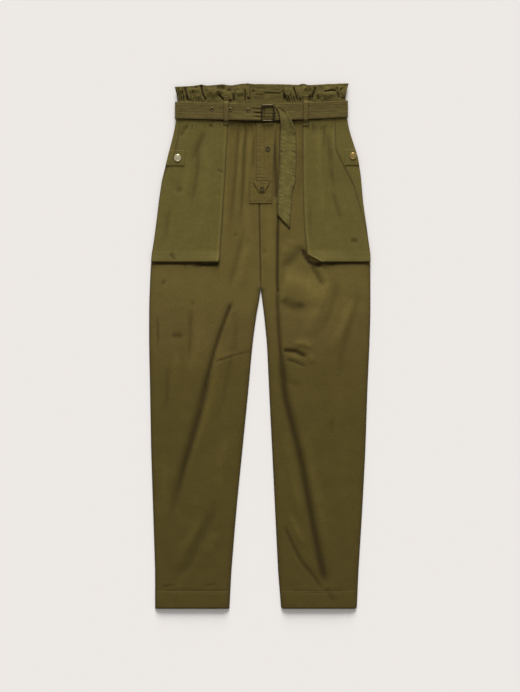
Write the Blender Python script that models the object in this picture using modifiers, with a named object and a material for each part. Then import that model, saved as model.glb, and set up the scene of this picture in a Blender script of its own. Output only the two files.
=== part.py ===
"""Paperbag waist trousers, laid flat and face up on a table, for Blender 4.5.

Every cut piece is one object. Sizes are in millimetres and become metres in one place, place_on_table().
x runs across the garment, towards the wearer's left. "up" runs along it, from the hems to the frill.
z is the height over the table. The world's origin is under the middle of the garment.
"""

import math
from typing import Callable, NamedTuple

import bmesh
import bpy
from mathutils import Vector
from mathutils.bvhtree import BVHTree

MM = 0.001

# Driving sizes
LENGTH = 1100.0  # hem to the top of the frill
CLOTH = 1.2  # wall of one layer of cloth
GATHERED_CLOTH = 1.4  # the waist, where gathers thicken it
BELT_CLOTH = 1.8  # the belt is sewn double over a stiffener
GAP = 0.3  # between pieces at their seams
BELT_WIDTH = 35.0
LOOP_WIDTH, LOOP_CLOTH = 10.0, 1.0
HEM_DEPTH, HEM_EXTRA = 36.0, 0.5  # the turn-up is a second layer inside the hem
HOLLOW = 3.2  # how far the front stands off the back in the middle of a leg
EDGE_ROUND = 18.0  # how far in from a side seam the front is still rising
CROTCH_UP = 674.6

# Levels over the table at the waist, from the back of the garment to its face
LOOP_UNDER_BELT = 0.0
BELT_BACK = LOOP_UNDER_BELT + LOOP_CLOTH + GAP
BACK_AT_WAIST = BELT_BACK + BELT_CLOTH + GAP
GATHER_UNDER_BELT = 0.5
FRONT_LEG_AT_WAIST = BACK_AT_WAIST + CLOTH + GAP
FRONT_AT_WAIST = BACK_AT_WAIST + GATHER_UNDER_BELT + GATHERED_CLOTH + GAP
BELT_FRONT = FRONT_LEG_AT_WAIST + 2 * (CLOTH + GAP)

# Heights along the garment where the back lifts over the belt, and the front with it
BACK_FLAT_UP, BACK_LIFTED_UP = 985.0, 1008.0
FRONT_FLAT_UP, FRONT_LIFTED_UP = 955.0, 1005.0


class Finish(NamedTuple):
    """The look of a piece: linear colour, roughness, metallic."""

    colour: tuple
    roughness: float
    metallic: float


TWILL = Finish((0.105, 0.085, 0.025), 0.85, 0.0)
DARK_METAL = Finish((0.045, 0.038, 0.032), 0.4, 0.9)
PALE_BRASS = Finish((0.62, 0.50, 0.27), 0.35, 0.9)


class Station(NamedTuple):
    """The outline at one height: the outer and inner edge of each leg, right leg first."""

    up: float
    right_outer: float
    right_inner: float
    left_inner: float
    left_outer: float


STATIONS = (
    Station(0, -219.5, -64.4, 44.5, 202.5),
    Station(80, -219.5, -60.2, 38.2, 206.0),
    Station(208, -223.7, -49.8, 31.9, 214.0),
    Station(333, -227.8, -37.2, 25.7, 220.5),
    Station(459, -230.0, -24.6, 19.4, 224.7),
    Station(553, -232.0, -16.2, 15.2, 229.0),
    Station(616, -232.0, -7.9, 8.9, 231.0),
    Station(648, -231.5, -1.6, 4.7, 231.0),
    Station(CROTCH_UP, -230.5, 1.25, 1.55, 231.0),
    Station(731, -228.0, 0.35, 0.65, 231.0),
    Station(773, -221.5, -0.35, -0.05, 227.0),
    Station(815, -216.0, -1.15, -0.85, 221.0),
    Station(857, -211.0, -1.75, -1.45, 214.5),
    Station(899, -204.8, -1.75, -1.45, 212.0),
    Station(941, -194.3, -1.75, -1.45, 205.8),
    Station(983, -183.8, -1.75, -1.45, 193.3),
    Station(1008, -177.0, -1.75, -1.45, 184.0),
    Station(1022, -172.2, -1.75, -1.45, 178.4),
    Station(1060, -172.2, -1.75, -1.45, 178.4),
)


class Fold(NamedTuple):
    """A long soft crease: its route, half its width, and its height, which is negative for a trough."""

    route: tuple
    half_width: float
    height: float


CREASES = {
    "right": (
        Fold(((-60, 647), (-100, 515), (-136, 396), (-158, 308), (-190, 182)), 15, -1.6),
        Fold(((-40, 640), (-74, 515), (-112, 396), (-136, 300)), 16, 0.9),
        Fold(((-102, 214), (-152, 96), (-184, 59)), 14, -1.0),
        Fold(((-147, 617), (-147, 505)), 12, -0.7),
    ),
    "left": (
        Fold(((37, 668), (45, 541), (65, 396), (81, 302), (99, 195), (118, 105)), 15, -1.6),
        Fold(((62, 668), (70, 541), (90, 396), (106, 302)), 16, 0.9),
        Fold(((54, 170), (89, 88), (121, 27)), 14, -1.0),
        Fold(((62, 648), (101, 622)), 14, -0.8),
    ),
}


class Valley(NamedTuple):
    """Where the gathered cloth dips between two puffs, at the belt and at the frill's top."""

    foot: float
    top: float


VALLEYS_RIGHT = (
    Valley(-172.2, -178.5),
    Valley(-164.0, -167.0),
    Valley(-152.0, -157.0),
    Valley(-137.0, -141.0),
    Valley(-114.0, -123.0),
    Valley(-98.0, -101.0),
    Valley(-78.0, -88.0),
    Valley(-63.0, -66.0),
    Valley(-47.0, -46.0),
    Valley(-32.0, -31.0),
    Valley(-20.7, -20.7),
)
VALLEYS_LEFT = (
    Valley(48.7, 48.7),
    Valley(59.0, 54.0),
    Valley(78.0, 71.0),
    Valley(92.0, 88.0),
    Valley(103.0, 101.0),
    Valley(113.0, 114.0),
    Valley(123.0, 125.0),
    Valley(140.0, 142.0),
    Valley(158.0, 160.0),
    Valley(170.0, 173.0),
    Valley(178.4, 185.5),
)
BACK_VALLEYS = 23
PUFF = 2.6  # the most that a puff rises at the frill's top
FRILL_BACK_DROP = 3.2  # how far the back frill sinks towards the table past the belt

BELT_LINE = ((-178.0, 1043.0), (-75.0, 1040.5), (0.0, 1038.0), (93.0, 1041.0), (184.0, 1046.0))
FRILL_LINE = ((-178.5, 1092.5), (-123.0, 1095.5), (-60.0, 1095.0), (-24.0, 1098.5), (48.0, 1098.0),
              (100.0, 1096.0), (144.0, 1098.5), (185.5, 1100.0))
FRILL_FOOT, FRILL_TOP = 1064.0, 1096.0  # the belt's upper border, and the frill's mean top
SEAM_GAP = 0.8  # between the legs and the waist, where the slanting seam is drawn with few points
SEAM_UNDER_CENTRE = 8.0  # the waist seam runs this far under the belt's centre line

BUCKLE_X, BUCKLE_UP = 16.0, 1037.0
BUCKLE_WIDTH, BUCKLE_HEIGHT = 28.0, 35.4
BUCKLE_WIRE = 1.5
PRONG_WIRE = 0.9


class PocketRow(NamedTuple):
    """One level of a patch pocket: its outer edge and its inner edge."""

    up: float
    outer: float
    inner: float


POCKET_RIGHT = (
    PocketRow(1030, -166.3, -66.4),
    PocketRow(1010, -168.6, -67.2),
    PocketRow(967, -176.3, -70.0),
    PocketRow(930, -191.0, -72.0),
    PocketRow(899, -204.8, -73.5),
    PocketRow(857, -211.0, -76.5),
    PocketRow(815, -216.0, -79.0),
    PocketRow(773, -221.5, -82.0),
    PocketRow(742, -226.6, -84.0),
    PocketRow(726, -227.8, -86.0),
)
POCKET_LEFT = (
    PocketRow(1031, 157.3, 89.6),
    PocketRow(1006, 157.6, 89.6),
    PocketRow(962, 159.3, 89.6),
    PocketRow(930, 176.0, 89.8),
    PocketRow(888, 197.0, 90.2),
    PocketRow(844, 210.0, 91.0),
    PocketRow(800, 221.5, 93.0),
    PocketRow(764, 228.0, 96.0),
    PocketRow(742, 231.0, 99.0),
    PocketRow(726, 231.0, 128.0),
)
POCKET_LIFT = 2.4  # how far the free bottom edge stands off the leg
POCKET_LIFT_REACH = 26.0


class TailRow(NamedTuple):
    """One line across the belt's free end, from its left border to its right one."""

    left_x: float
    left_up: float
    right_x: float
    right_up: float


TAIL_ROWS = (
    TailRow(38.0, 1049.0, 41.0, 1047.0),
    TailRow(40.0, 1040.0, 47.5, 1036.0),
    TailRow(43.0, 1030.0, 56.0, 1027.0),
    TailRow(44.1, 1019.0, 62.5, 1019.5),
    TailRow(44.1, 1008.0, 70.0, 1008.0),
    TailRow(43.7, 996.0, 75.0, 996.0),
    TailRow(42.5, 970.0, 75.5, 970.0),
    TailRow(41.4, 940.0, 75.5, 940.0),
    TailRow(39.7, 903.0, 74.5, 903.0),
    TailRow(38.0, 862.0, 67.5, 862.0),
    TailRow(37.0, 824.5, 62.5, 797.5),
)


# Small helpers


def lerp(a, b, t):
    return a + (b - a) * t


def clamp(t):
    return min(1.0, max(0.0, t))


def ramp(value, low, high):
    """0 below low, 1 above high, and eased between."""
    t = clamp((value - low) / (high - low))
    return t * t * (3.0 - 2.0 * t)


def along(line, x):
    """The height of a line of (x, value) points at x."""
    for (x0, v0), (x1, v1) in zip(line, line[1:]):
        if x <= x1:
            return lerp(v0, v1, clamp((x - x0) / (x1 - x0)))
    return line[-1][1]


def outline(up):
    """The garment's edges at this height, between the stations."""
    for below, above in zip(STATIONS, STATIONS[1:]):
        if up <= above.up:
            t = clamp((up - below.up) / (above.up - below.up))
            return Station(*(lerp(a, b, t) for a, b in zip(below, above)))
    return STATIONS[-1]


def waist_seam(x):
    return along(BELT_LINE, x) - SEAM_UNDER_CENTRE


def from_route(route, x, up):
    """The distance from a route and the share of it passed at the nearest point."""
    point = Vector((x, up))
    spans = [(Vector(b) - Vector(a)).length for a, b in zip(route, route[1:])]
    best, passed = (math.inf, 0.0), 0.0
    for a, b, span in zip(route, route[1:], spans):
        start, leg = Vector(a), Vector(b) - Vector(a)
        t = clamp((point - start).dot(leg) / leg.length_squared)
        best = min(best, ((point - start - leg * t).length, (passed + t * span) / sum(spans)))
        passed += span
    return best


def fold_height(folds, x, up):
    """What the creases add to the cloth's height: a soft profile that dies out at both ends."""
    total = 0.0
    for fold in folds:
        distance, share = from_route(fold.route, x, up)
        fade = ramp(share, 0.0, 0.18) * ramp(1.0 - share, 0.0, 0.22)
        total += fold.height * fade * math.exp(-((distance / fold.half_width) ** 2))
    return total


def rounded(distance, reach):
    """A quarter-round edge: 0 at the edge, 1 from reach inwards."""
    t = 1.0 - clamp(distance / reach)
    return math.sqrt(1.0 - t * t)


# The garment's own surfaces, as heights of their undersides


def back_height(x, up):
    """The back lies on the table and lifts over the belt."""
    lifted = BACK_AT_WAIST * ramp(up, BACK_FLAT_UP, BACK_LIFTED_UP)
    return lifted - FRILL_BACK_DROP * ramp(up, 1064.0, 1096.0)


def front_height(side, x, up):
    """The front stands off the back in the middle of each leg and meets it at the seams."""
    edges = outline(up)
    outer, inner = (edges.right_outer, edges.right_inner) if side == "right" else (
        edges.left_outer, edges.left_inner)
    joined = max(0.0, up - CROTCH_UP + 12.0) * 0.8
    off_outer = rounded(abs(x - outer), EDGE_ROUND)
    off_inner = rounded(abs(x - inner) + joined, EDGE_ROUND)
    at_hem = lerp(0.62, 1.0, ramp(up, 0.0, 120.0))
    to_waist = ramp(up, FRONT_FLAT_UP, FRONT_LIFTED_UP)
    hollow = HOLLOW * off_outer * off_inner * at_hem * (1.0 - to_waist)
    base = lerp(CLOTH + GAP, FRONT_LEG_AT_WAIST, to_waist)
    creased = fold_height(CREASES[side], x, up) * off_outer * off_inner * (1.0 - to_waist)
    return base + max(0.0, hollow + creased)


# Building


def clear_scene():
    for item in list(bpy.data.objects):
        bpy.data.objects.remove(item, do_unlink=True)
    for name in ("Paperbag waist trousers", "Cutters"):
        bpy.context.scene.collection.children.link(bpy.data.collections.new(name))


def finish_object(item, finish, kept="Paperbag waist trousers"):
    material = bpy.data.materials.new(f"{item.name} finish")
    material.use_nodes = True
    shader = material.node_tree.nodes["Principled BSDF"]
    shader.inputs["Base Color"].default_value = (*finish.colour, 1.0)
    shader.inputs["Roughness"].default_value = finish.roughness
    shader.inputs["Metallic"].default_value = finish.metallic
    item.data.materials.append(material)
    for held in list(item.users_collection):
        held.objects.unlink(item)
    bpy.data.collections[kept].objects.link(item)
    return item


def place_on_table(x, up, z):
    return Vector((x, up - LENGTH / 2.0, z)) * MM


class Sheet(NamedTuple):
    """A finished cloth piece and its upper face, for what is laid on it."""

    item: bpy.types.Object
    upper: BVHTree


def new_object(name, shape, finish):
    mesh = bpy.data.meshes.new(name)
    bmesh.ops.recalc_face_normals(shape, faces=shape.faces[:])
    shape.to_mesh(mesh)
    shape.free()
    item = bpy.data.objects.new(name, mesh)
    return finish_object(item, finish)


def sheet(name, lines, underside: Callable, thickness=CLOTH, finish=TWILL):
    """One cloth piece: a grid whose lines run across it, given a height and then a wall upwards.

    Args:
        name: the object's name.
        lines: for each line across the piece, its points as (x, up).
        underside: the height of the piece's underside at (x, up).
        thickness: the wall, or a function of (x, up) for a wall that changes.
    """
    across, down = len(lines[0]) - 1, len(lines) - 1
    shape = bmesh.new()
    bmesh.ops.create_grid(shape, x_segments=across, y_segments=down, size=0.5)
    for vertex in shape.verts:
        column = round((vertex.co.x + 0.5) * across)
        line = round((vertex.co.y + 0.5) * down)
        x, up = lines[line][column]
        vertex.co = Vector((x, up, underside(x, up)))
    raised = bmesh.ops.extrude_face_region(shape, geom=shape.faces[:])
    upper = [v for v in raised["geom"] if isinstance(v, bmesh.types.BMVert)]
    faces = [f for f in raised["geom"] if isinstance(f, bmesh.types.BMFace)]
    for vertex in upper:
        wall = thickness(vertex.co.x, vertex.co.y) if callable(thickness) else thickness
        vertex.co.z += wall
    index = {vertex: number for number, vertex in enumerate(upper)}
    tree = BVHTree.FromPolygons(
        [v.co.copy() for v in upper], [[index[v] for v in face.verts] for face in faces])
    for vertex in shape.verts:
        vertex.co = place_on_table(*vertex.co)
    return Sheet(new_object(name, shape, finish), tree)


def lines_between(rows, shares):
    """Lines across a piece, from (left x, left up, right x, right up) rows and shares of the way."""
    return [[(lerp(lx, rx, s), lerp(lu, ru, s)) for s in shares] for lx, lu, rx, ru in rows]


def even(count):
    return [i / count for i in range(count + 1)]


def laid_on(below, reach, lift=None, lowest=0.0):
    """The underside of a piece that lies on others: the highest point under it, the gap and its own lift."""
    around = [(0.0, 0.0)] + [
        (reach * math.cos(math.radians(a)), reach * math.sin(math.radians(a))) for a in range(0, 360, 45)]

    def underside(x, up):
        found = [lowest - GAP]
        for piece in below:
            for dx, du in around:
                hit = piece.upper.ray_cast(Vector((x + dx, up + du, 100.0)), Vector((0, 0, -1)))[0]
                if hit is not None:
                    found.append(hit.z)
        return max(found) + GAP + (lift(x, up) if lift else 0.0)

    return underside


# Legs

FRONT_UPS = (0, HEM_DEPTH, HEM_DEPTH + 2, 80, 130, 180, 230, 280, 330, 380, 425, 465, 500, 535, 565,
             595, 622, 648, CROTCH_UP, 702, 740, 780, 820, 862, 902, 940, 972, 1005)
FRONT_SHARES = (0.0, 0.03, 0.08, 0.17, 0.27, 0.37, 0.47, 0.57, 0.67, 0.77, 0.86, 0.94, 1.0)
BACK_UPS = (0, HEM_DEPTH, HEM_DEPTH + 2, 130, 330, 500, 595, 648, CROTCH_UP, 740, 820, 902, 985, 1000, 1012)
BACK_SHARES = (0.0, 0.33, 0.67, 1.0)


def leg_lines(side, ups, shares):
    """Lines across a leg from its outer edge to its inner one, and the last along the waist seam."""
    lines = []
    for up in ups + (None,):
        edges = outline(up if up is not None else 1030.0)
        outer, inner = (edges.right_outer, edges.right_inner) if side == "right" else (
            edges.left_outer, edges.left_inner)
        xs = [lerp(outer, inner, share) for share in shares]
        lines.append([(x, up if up is not None else waist_seam(x) - SEAM_GAP) for x in xs])
    return lines


def hem_wall(_x, up):
    return CLOTH + (HEM_EXTRA if up <= HEM_DEPTH else 0.0)


def build_legs():
    made = {}
    for side in ("right", "left"):
        sheet(f"leg_back_{side}", leg_lines(side, BACK_UPS, BACK_SHARES), back_height)
        made[side] = sheet(
            f"leg_front_{side}", leg_lines(side, FRONT_UPS, FRONT_SHARES),
            lambda x, up, side=side: front_height(side, x, up), hem_wall)
    return made


# Waist: casing and frill


def flare(up):
    """How far the gathers have spread from their places under the belt towards those at the top."""
    return clamp((up - FRILL_FOOT) / (FRILL_TOP - FRILL_FOOT))


def frill_lines(valleys, between):
    """Lines along the waist, with a point at each valley and some on each puff."""
    lines = []
    for share in (0.0, 0.34, 0.5, 0.62, 0.82, 1.0):
        spread = flare(lerp(1032.0, FRILL_TOP, share))
        line = []
        for a, b in zip(valleys, valleys[1:]):
            line += [lerp(lerp(a.foot, a.top, spread), lerp(b.foot, b.top, spread), t / between)
                     for t in range(between)]
        line.append(lerp(valleys[-1].foot, valleys[-1].top, spread))
        lines.append([
            (x, lerp(waist_seam(x) + GAP / 2, along(FRILL_LINE, x), share)) for x in line])
    return lines


def puffs(valleys, reach_top):
    """The height of the gathers over their valleys: low under the belt, full at the frill's top."""

    def height(x, up):
        share = ramp(up, 1058.0, reach_top)
        places = [lerp(v.foot, v.top, flare(up)) for v in valleys]
        for a, b in zip(places, places[1:]):
            if a <= x <= b and b > a:
                size = min(1.0, (b - a) / 18.0)
                rise = lerp(GATHER_UNDER_BELT, PUFF * size, share)
                return rise * math.sin(math.pi * (x - a) / (b - a))
        return 0.0

    return height


def back_valleys():
    """Gathers behind, at spacings that vary a little from one to the next."""
    steps = [1.0 + 0.35 * math.sin(2.4 * i) for i in range(BACK_VALLEYS)]
    places, passed = [0.0], 0.0
    for step in steps:
        passed += step / sum(steps)
        places.append(passed)
    return tuple(Valley(lerp(-172.2, 178.4, p), lerp(-177.5, 184.5, p)) for p in places)


def build_waist():
    gathers = back_valleys()
    behind = puffs(gathers, 1096.0)
    back = sheet("waist_back", frill_lines(gathers, 2),
                 lambda x, up: back_height(x, up) + behind(x, up), GATHERED_CLOTH)
    made = [back]
    for side, valleys in (("right", VALLEYS_RIGHT), ("left", VALLEYS_LEFT)):
        rise = puffs(valleys, 1094.0)
        made.append(sheet(f"waist_front_{side}", frill_lines(valleys, 3),
                          lambda x, up, rise=rise: FRONT_AT_WAIST + rise(x, up), GATHERED_CLOTH))
    left, right = VALLEYS_RIGHT[-1].foot + GAP, VALLEYS_LEFT[0].foot - GAP
    shares = (0.0, 0.5, 0.62, 1.0)
    lines = [[(lerp(left, right, s), lerp(waist_seam(lerp(left, right, s)) + GAP / 2,
                                          along(FRILL_LINE, lerp(left, right, s)), t))
              for s in even(6)] for t in shares]
    made.append(sheet("waist_placket", lines, lambda x, up: FRONT_AT_WAIST + GAP, GATHERED_CLOTH))
    return made


# Pockets


def pocket_lift(x, up, rows, corner):
    """The free bottom edge stands off the leg, most at the inner corner and least at mid width."""
    bottom = rows[-1].up
    near = 1.0 - ramp(up - bottom, 0.0, POCKET_LIFT_REACH)
    along_edge = abs(x - corner) / abs(rows[-1].outer - corner)
    uneven = 0.75 + 0.25 * math.cos(2.0 * math.pi * along_edge)
    return POCKET_LIFT * near * uneven


def build_pockets(fronts):
    patches = []
    for side, rows in (("right", POCKET_RIGHT), ("left", POCKET_LEFT)):
        sign = -1.0 if side == "right" else 1.0
        corner = rows[-1].inner
        shares = (0.0, 0.06, 0.18, 0.34, 0.5, 0.66, 0.82, 0.94, 1.0)
        lines = []
        for row in rows:
            xs = [lerp(row.outer, row.inner, share) for share in shares]
            top = row is rows[0]
            lines.append([(x, waist_seam(x) - SEAM_GAP if top else row.up) for x in xs])
        patch = sheet(
            f"pocket_patch_{side}", lines,
            laid_on([fronts[side]], 7.0,
                    lambda x, up, rows=rows, corner=corner: pocket_lift(x, up, rows, corner)))
        patches.append(patch)
        opening = [row for row in rows if row.up > (925 if side == "right" else 790)]
        facing_lines = []
        for row in opening:
            edges = outline(row.up)
            outer = edges.right_outer if side == "right" else edges.left_outer
            inner = row.outer + sign * GAP
            xs = [lerp(outer, inner, share) for share in (0.0, 0.5, 1.0)]
            top = row is rows[0]
            facing_lines.append([(x, waist_seam(x) - SEAM_GAP if top else row.up) for x in xs])
        facing = sheet(f"hip_facing_{side}", facing_lines, laid_on([fronts[side]], 5.0))
        tab_top, tab_foot, tab_inner, snap_x, snap_up, snap_size = (
            (959.0, 927.0, -158.0, -172.3, 943.0, 15.0) if side == "right"
            else (961.0, 928.0, 178.0, 194.3, 947.0, 14.0))
        tab_lines = []
        for up in (tab_top, lerp(tab_top, tab_foot, 0.5), tab_foot):
            edges = outline(up)
            outer = edges.right_outer if side == "right" else edges.left_outer
            tab_lines.append([(lerp(outer, tab_inner, s), up) for s in even(4)])
        tab = sheet(f"pocket_tab_{side}", tab_lines,
                    laid_on([fronts[side], patch, facing], 6.0), LOOP_CLOTH)
        button(f"snap_{side}", snap_x, snap_up, snap_size / 2, 2.2,
               laid_on([tab], snap_size / 2)(snap_x, snap_up), PALE_BRASS)
    return patches


# Fly


def build_fly(fronts):
    legs = list(fronts.values())
    placket_rows = (
        (-7.9, 1030.0, 34.5, 1030.0), (-7.9, 1006.0, 34.0, 1006.0), (-7.9, 972.0, 30.5, 972.0),
        (-7.9, 938.0, 28.2, 938.0), (-7.9, 895.0, 26.2, 895.0))
    placket = sheet("fly_placket", lines_between(placket_rows, even(3)), laid_on(legs, 7.0))
    base_rows = ((-22.5, 894.5, 26.0, 894.5), (-22.5, 871.5, 25.7, 871.5), (-22.5, 848.5, 25.5, 848.5))
    base = sheet("fly_base", lines_between(base_rows, even(4)), laid_on(legs, 7.0))
    tab_rows = ((-14.4, 893.5, 21.0, 893.5), (-11.0, 886.0, 18.0, 886.0), (-1.5, 871.0, 9.0, 871.0))
    tab = sheet("fly_tab", lines_between(tab_rows, even(2)), laid_on([base], 5.0), LOOP_CLOTH)
    for name, x, up, under in (("fly_button_upper", 16.2, 962.5, placket),
                               ("fly_button_lower", 4.4, 878.5, tab)):
        button(name, x, up, 4.8, 1.8, laid_on([under], 4.8)(x, up), DARK_METAL)
    return placket


# Belt, its loops, eyelets and buckle


def belt_path():
    """The belt's centre line in (x, z), from the buckle round the back to the buckle again."""
    front, behind = BELT_FRONT + BELT_CLOTH / 2, BELT_BACK + BELT_CLOTH / 2
    radius, middle = (front - behind) / 2, (front + behind) / 2
    right_end, left_end = -177.5 + BELT_CLOTH / 2 + radius, 183.8 - BELT_CLOTH / 2 - radius
    steps, turn = 12, 6
    points = [(lerp(BUCKLE_X + 13.5, right_end, i / steps), front) for i in range(steps)]
    points += [(right_end - radius * math.sin(math.pi * i / turn),
                middle + radius * math.cos(math.pi * i / turn)) for i in range(turn)]
    points += [(lerp(right_end, left_end, i / steps), behind) for i in range(steps)]
    points += [(left_end + radius * math.sin(math.pi * i / turn),
                middle - radius * math.cos(math.pi * i / turn)) for i in range(turn)]
    points += [(lerp(left_end, BUCKLE_X + 15.0, i / steps), front) for i in range(steps + 1)]
    return points


EYELETS = {"eyelet_outer": -100.5, "eyelet_middle": -62.5, "eyelet_inner": -25.0}
EYELET_RISE = 4.0  # the eyelets sit this far above the belt's centre line
EYELET_HOLE, EYELET_BARREL, EYELET_FLANGE = 2.6, 2.3, 4.4


def eyelet_up(x):
    return along(BELT_LINE, x) + EYELET_RISE


def build_belt():
    path = belt_path()
    shape = bmesh.new()
    steps = len(path) - 1
    bmesh.ops.create_grid(shape, x_segments=steps, y_segments=1, size=0.5)
    for vertex in shape.verts:
        x, z = path[round((vertex.co.x + 0.5) * steps)]
        across = vertex.co.y * BELT_WIDTH
        vertex.co = place_on_table(x, along(BELT_LINE, x) + across, z)
    belt = new_object("belt", shape, TWILL)
    wall = belt.modifiers.new("belt wall", "SOLIDIFY")
    wall.thickness = BELT_CLOTH * MM
    wall.offset = 0.0
    wall.use_even_offset = True
    for name, x in EYELETS.items():
        bpy.ops.mesh.primitive_cylinder_add(
            vertices=24, radius=EYELET_HOLE * MM, depth=6 * MM,
            location=place_on_table(x, eyelet_up(x), BELT_FRONT + BELT_CLOTH / 2))
        cutter = bpy.context.object
        cutter.name = f"{name}_cutter"
        finish_object(cutter, DARK_METAL, "Cutters")
        cutter.hide_render = True
        cutter.display_type = "WIRE"
        hole = belt.modifiers.new(f"{name} hole", "BOOLEAN")
        hole.object = cutter
        hole.operation = "DIFFERENCE"
        ring = (
            (EYELET_BARREL, 0.3), (EYELET_BARREL, -1.8), (1.4, -1.8), (1.4, 0.5), (1.9, 0.9),
            (EYELET_FLANGE - 0.5, 0.8), (EYELET_FLANGE, 0.3))
        turned(name, x, eyelet_up(x), BELT_FRONT + BELT_CLOTH, ring, DARK_METAL, 24)


def turned(name, x, up, z, profile, finish, steps=32):
    """A turned piece from a closed or axis-ended profile of (radius, height) points."""
    shape = bmesh.new()
    on_axis = [radius < 1e-6 for radius, _ in profile]
    corners = [shape.verts.new(Vector((radius, 0.0, height)) * MM) for radius, height in profile]
    for a, b in zip(corners, corners[1:]):
        shape.edges.new((a, b))
    if not any(on_axis):
        shape.edges.new((corners[-1], corners[0]))
    mesh = bpy.data.meshes.new(name)
    shape.to_mesh(mesh)
    shape.free()
    item = bpy.data.objects.new(name, mesh)
    item.location = place_on_table(x, up, z)
    screw = item.modifiers.new("turned", "SCREW")
    screw.axis = "Z"
    screw.angle = math.tau
    screw.steps = steps
    screw.render_steps = steps
    screw.use_merge_vertices = True
    screw.merge_threshold = 1e-5
    return finish_object(item, finish)


def button(name, x, up, radius, height, z, finish):
    """A round button with a raised rim and a dished middle, its underside at z."""
    profile = (
        (0.0, 0.55 * height), (0.55 * radius, 0.6 * height), (0.72 * radius, height),
        (0.88 * radius, height), (radius, 0.7 * height), (radius, 0.2 * height), (0.9 * radius, 0.0),
        (0.0, 0.0))
    return turned(name, x, up, z, profile, finish, 28)


def build_loops(covered):
    """The loops: in front they pass over the belt, behind they pass under it."""
    over_belt = BELT_FRONT + BELT_CLOTH + GAP
    for name, x, foot, top, over in (
            ("loop_front_right", -70.6, 1012.5, 1072.0, over_belt + 0.9),
            ("loop_front_left", 95.8, 1010.5, 1074.5, over_belt)):
        centre = along(BELT_LINE, x)
        half = BELT_WIDTH / 2 + 1.0
        ups = (foot, centre - half - 4.0, centre - half, centre + half, centre + half + 4.0, top)
        lying = laid_on(covered, 4.0)

        def arched(x, up, centre=centre, half=half, over=over, lying=lying):
            return over if abs(up - centre) < half + 1.0 else lying(x, up)

        lines = [[(x - LOOP_WIDTH / 2, up), (x + LOOP_WIDTH / 2, up)] for up in ups]
        sheet(name, lines, arched, LOOP_CLOTH)
    at_ends = BACK_AT_WAIST - 2 * GAP - LOOP_CLOTH
    for name, x in (("loop_back_right", -92.0), ("loop_back_centre", 1.0), ("loop_back_left", 96.0)):
        centre = along(BELT_LINE, x)
        half = BELT_WIDTH / 2 + 1.5
        ups = (centre - half - 7.0, centre - half - 4.0, centre - half, centre + half, centre + half + 3.0,
               centre + half + 4.5)
        lines = [[(x - LOOP_WIDTH / 2, up), (x + LOOP_WIDTH / 2, up)] for up in ups]
        sheet(name, lines, lambda x, up, centre=centre, half=half: at_ends * ramp(
            abs(up - centre), half, half + 3.0), LOOP_CLOTH)


def wire(name, points, radius, closed, finish):
    curve = bpy.data.curves.new(name, "CURVE")
    curve.dimensions = "3D"
    curve.bevel_depth = radius * MM
    curve.bevel_resolution = 2
    curve.use_fill_caps = not closed
    spline = curve.splines.new("POLY")
    spline.points.add(len(points) - 1)
    for target, point in zip(spline.points, points):
        target.co = (*place_on_table(*point), 1.0)
    spline.use_cyclic_u = closed
    item = bpy.data.objects.new(name, curve)
    return finish_object(item, finish)


def build_buckle():
    level = BELT_FRONT + BELT_CLOTH + GAP + BUCKLE_WIRE
    half_w, half_h = BUCKLE_WIDTH / 2 - BUCKLE_WIRE, BUCKLE_HEIGHT / 2 - BUCKLE_WIRE
    corner, points = 4.0, []
    for cx, cy, start in ((half_w, half_h, 0), (-half_w, half_h, 90), (-half_w, -half_h, 180),
                          (half_w, -half_h, 270)):
        for i in range(5):
            angle = math.radians(start + 90.0 * i / 4)
            points.append((
                BUCKLE_X + cx - math.copysign(corner, cx) + corner * math.cos(angle),
                BUCKLE_UP + cy - math.copysign(corner, cy) + corner * math.sin(angle), level))
    wire("buckle_frame", points, BUCKLE_WIRE, True, DARK_METAL)
    reach = BUCKLE_WIRE + PRONG_WIRE + GAP
    bar_x = BUCKLE_X + half_w
    points = [(bar_x + reach * math.cos(math.radians(a)), BUCKLE_UP - 0.4,
               level + reach * math.sin(math.radians(a))) for a in range(0, 91, 18)]
    points += [(lerp(bar_x, BUCKLE_X - half_w - 1.0, t), BUCKLE_UP - 0.4,
                level + reach - 0.5 * math.sin(math.pi * t)) for t in (0.25, 0.5, 0.75, 1.0)]
    wire("buckle_prong", points, PRONG_WIRE, False, DARK_METAL)


def build_tail(covered):
    over_belt = BELT_FRONT + BELT_CLOTH + GAP
    lying = laid_on(covered, 6.0)

    def underside(x, up):
        level = lying(x, up)
        return lerp(level, over_belt, ramp(up, 985.0, 1019.0)) if up < 1019.0 else over_belt

    lines = lines_between(TAIL_ROWS, even(2))
    sheet("belt_tail", lines, underside, BELT_CLOTH)


def main():
    clear_scene()
    fronts = build_legs()
    waist = build_waist()
    patches = build_pockets(fronts)
    placket = build_fly(fronts)
    build_belt()
    covered = list(fronts.values()) + waist + patches + [placket]
    build_loops(covered)
    build_tail(covered)
    build_buckle()


main()
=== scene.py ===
"""Paperbag waist trousers in olive cotton twill, laid flat and face up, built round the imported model.

Lengths are in millimetres and become metres in one function, at(). x runs across the garment towards the
wearer's left. "up" runs along it, from the hems to the frill. z is the height over the table.
"right" and "left" are the wearer's.
"""

import logging
import math
from dataclasses import dataclass, field
from enum import Enum
from functools import lru_cache
from typing import Any, Callable, Iterable, Sequence

import bpy
import numpy as np
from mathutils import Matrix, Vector
from mathutils.bvhtree import BVHTree
from mathutils.noise import fractal


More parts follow.
